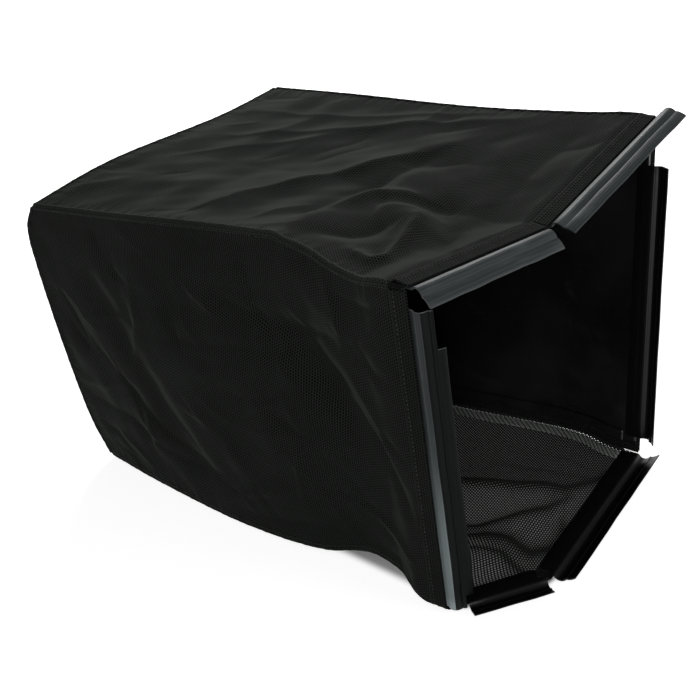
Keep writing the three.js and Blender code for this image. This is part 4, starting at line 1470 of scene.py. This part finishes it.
def painted_shadow_under_bag(n, x, y):
    """1 where the floor lies under the bag and 0 elsewhere: the mask of the shadow painted under the bag."""
    inside = n.times(n.ramp(x, *UNDER_LEFT), n.ramp(x, *UNDER_RIGHT, 1, 0))
    inside = n.times(inside, n.ramp(y, *UNDER_REAR, 1, 0))
    for begin, end in ((mouth_foot_left, floor_joint), (floor_joint, mouth_foot_right)):
        start, slope = (begin + SHIFT) * MM, (end - begin)[1] / (end - begin)[0]
        edge = n.plus(n.times(n.less(x, start[0]), slope), start[1])
        inside = n.times(inside, n.ramp(n.less(y, edge), *UNDER_FRONT))
    return inside


def studio_material(colour):
    """Pale and matt. A camera, glossy or transmitted ray sees it glow as well, but under the bag the glow is
    cut down to a painted shadow.
    """
    n, shader = new_material("studio floor")
    n.fill(shader, Base_Color=(*colour, 1), Roughness=0.9, Specular_IOR_Level=0.1)
    at = n.object_place()
    spot = n.split(at)
    away = n.add("VectorMath", operation="LENGTH")
    n.put(at, away.inputs[0])
    pale = n.ramp(away.outputs["Value"], *GLOW_GROWS, GLOW_NEAR, GLOW_FAR)
    # Under the bag the glow falls to a small share: a painted shadow, seen through the floor mesh
    strength = n.times(pale, n.ramp(painted_shadow_under_bag(n, spot[0], spot[1]), 0, 1, 1, GLOW_IN_PAINTED_SHADOW))
    glow = n.fill(n.add("Emission"), Strength=strength)
    both, pick = n.add("AddShader"), n.add("MixShader")
    ray = n.add("LightPath").outputs
    direct = n.math("MAXIMUM", ray["Is Camera Ray"], ray["Is Transmission Ray"])
    seen = n.math("MAXIMUM", direct, ray["Is Glossy Ray"])
    plain = shader.outputs[0]
    for node, values in ((both, (plain, glow[0])), (pick, (seen, plain, both.outputs[0]))):
        for value, socket in zip(values, node.inputs):
            n.put(value, socket)
    n.put(pick.outputs[0], n.tree.nodes["Material Output"].inputs["Surface"])
    return bpy.data.materials["studio floor"]


class BAG_OT_stage(bpy.types.Operator):
    """Makes the pale floor, the lamps and the pale surroundings"""

    bl_idname = "grass_bag.stage"
    bl_label = "Stage"

    def execute(self, context):
        _, colours = settings()
        bpy.ops.object.select_all(action="DESELECT")
        bpy.ops.mesh.primitive_plane_add(size=FLOOR_SIZE)
        floor = context.active_object
        floor.name = floor.data.name = "studio_floor"
        floor.location.z = CAD_BOX[0][2] - FLOOR_DROP
        bpy.ops.object.transform_apply()
        bpy.ops.mesh.primitive_cylinder_add(
            vertices=64, radius=BACKDROP_AWAY, depth=BACKDROP_HEIGHT, end_fill_type="NOTHING",
            location=(0, 0, BACKDROP_HEIGHT / 2),
        )
        backdrop = context.active_object
        backdrop.name = backdrop.data.name = "studio_backdrop"
        bpy.ops.object.transform_apply()
        material = studio_material(colours.floor)
        for piece in (floor, backdrop):
            piece.data.materials.append(material)

        world = bpy.data.worlds.new("studio")
        world.use_nodes = True
        background = world.node_tree.nodes["Background"]
        background.inputs["Color"].default_value = (1, 1, 1, 1)
        background.inputs["Strength"].default_value = AMBIENT
        context.scene.world = world

        for lamp in LAMPS:
            area_lamp(*lamp)
        context.scene.view_settings.view_transform = "Standard"
        return {"FINISHED"}


class BAG_PT_sidebar(bpy.types.Panel):
    """Lists the bag's operators and its values"""

    bl_idname = "BAG_PT_sidebar"
    bl_label = "Grass bag"
    bl_space_type = "VIEW_3D"
    bl_region_type = "UI"
    bl_category = "Grass bag"

    def draw(self, context):
        for operator in OPERATORS:
            self.layout.operator(operator.bl_idname)
        for values in (context.scene.bag_sizes, context.scene.bag_colours):
            for key in values.__annotations__:
                self.layout.prop(values, key)


OPERATORS = (
    BAG_OT_camera,
    BAG_OT_materials,
    BAG_OT_panels,
    BAG_OT_liner,
    BAG_OT_hems,
    BAG_OT_welts,
    BAG_OT_channels,
    BAG_OT_stage,
)
CLASSES = (BagSizes, BagColours, *OPERATORS, BAG_PT_sidebar)


def register():
    for cls in CLASSES:
        bpy.utils.register_class(cls)
    bpy.types.Scene.bag_sizes = bpy.props.PointerProperty(type=BagSizes)
    bpy.types.Scene.bag_colours = bpy.props.PointerProperty(type=BagColours)


def unregister():
    del bpy.types.Scene.bag_sizes
    del bpy.types.Scene.bag_colours
    for cls in reversed(CLASSES):
        bpy.utils.unregister_class(cls)


def main():
    register()
    for operator in OPERATORS:
        family, action = operator.bl_idname.split(".")
        getattr(getattr(bpy.ops, family), action)()
    bpy.context.view_layer.update()


if __name__ == "__main__":
    main()
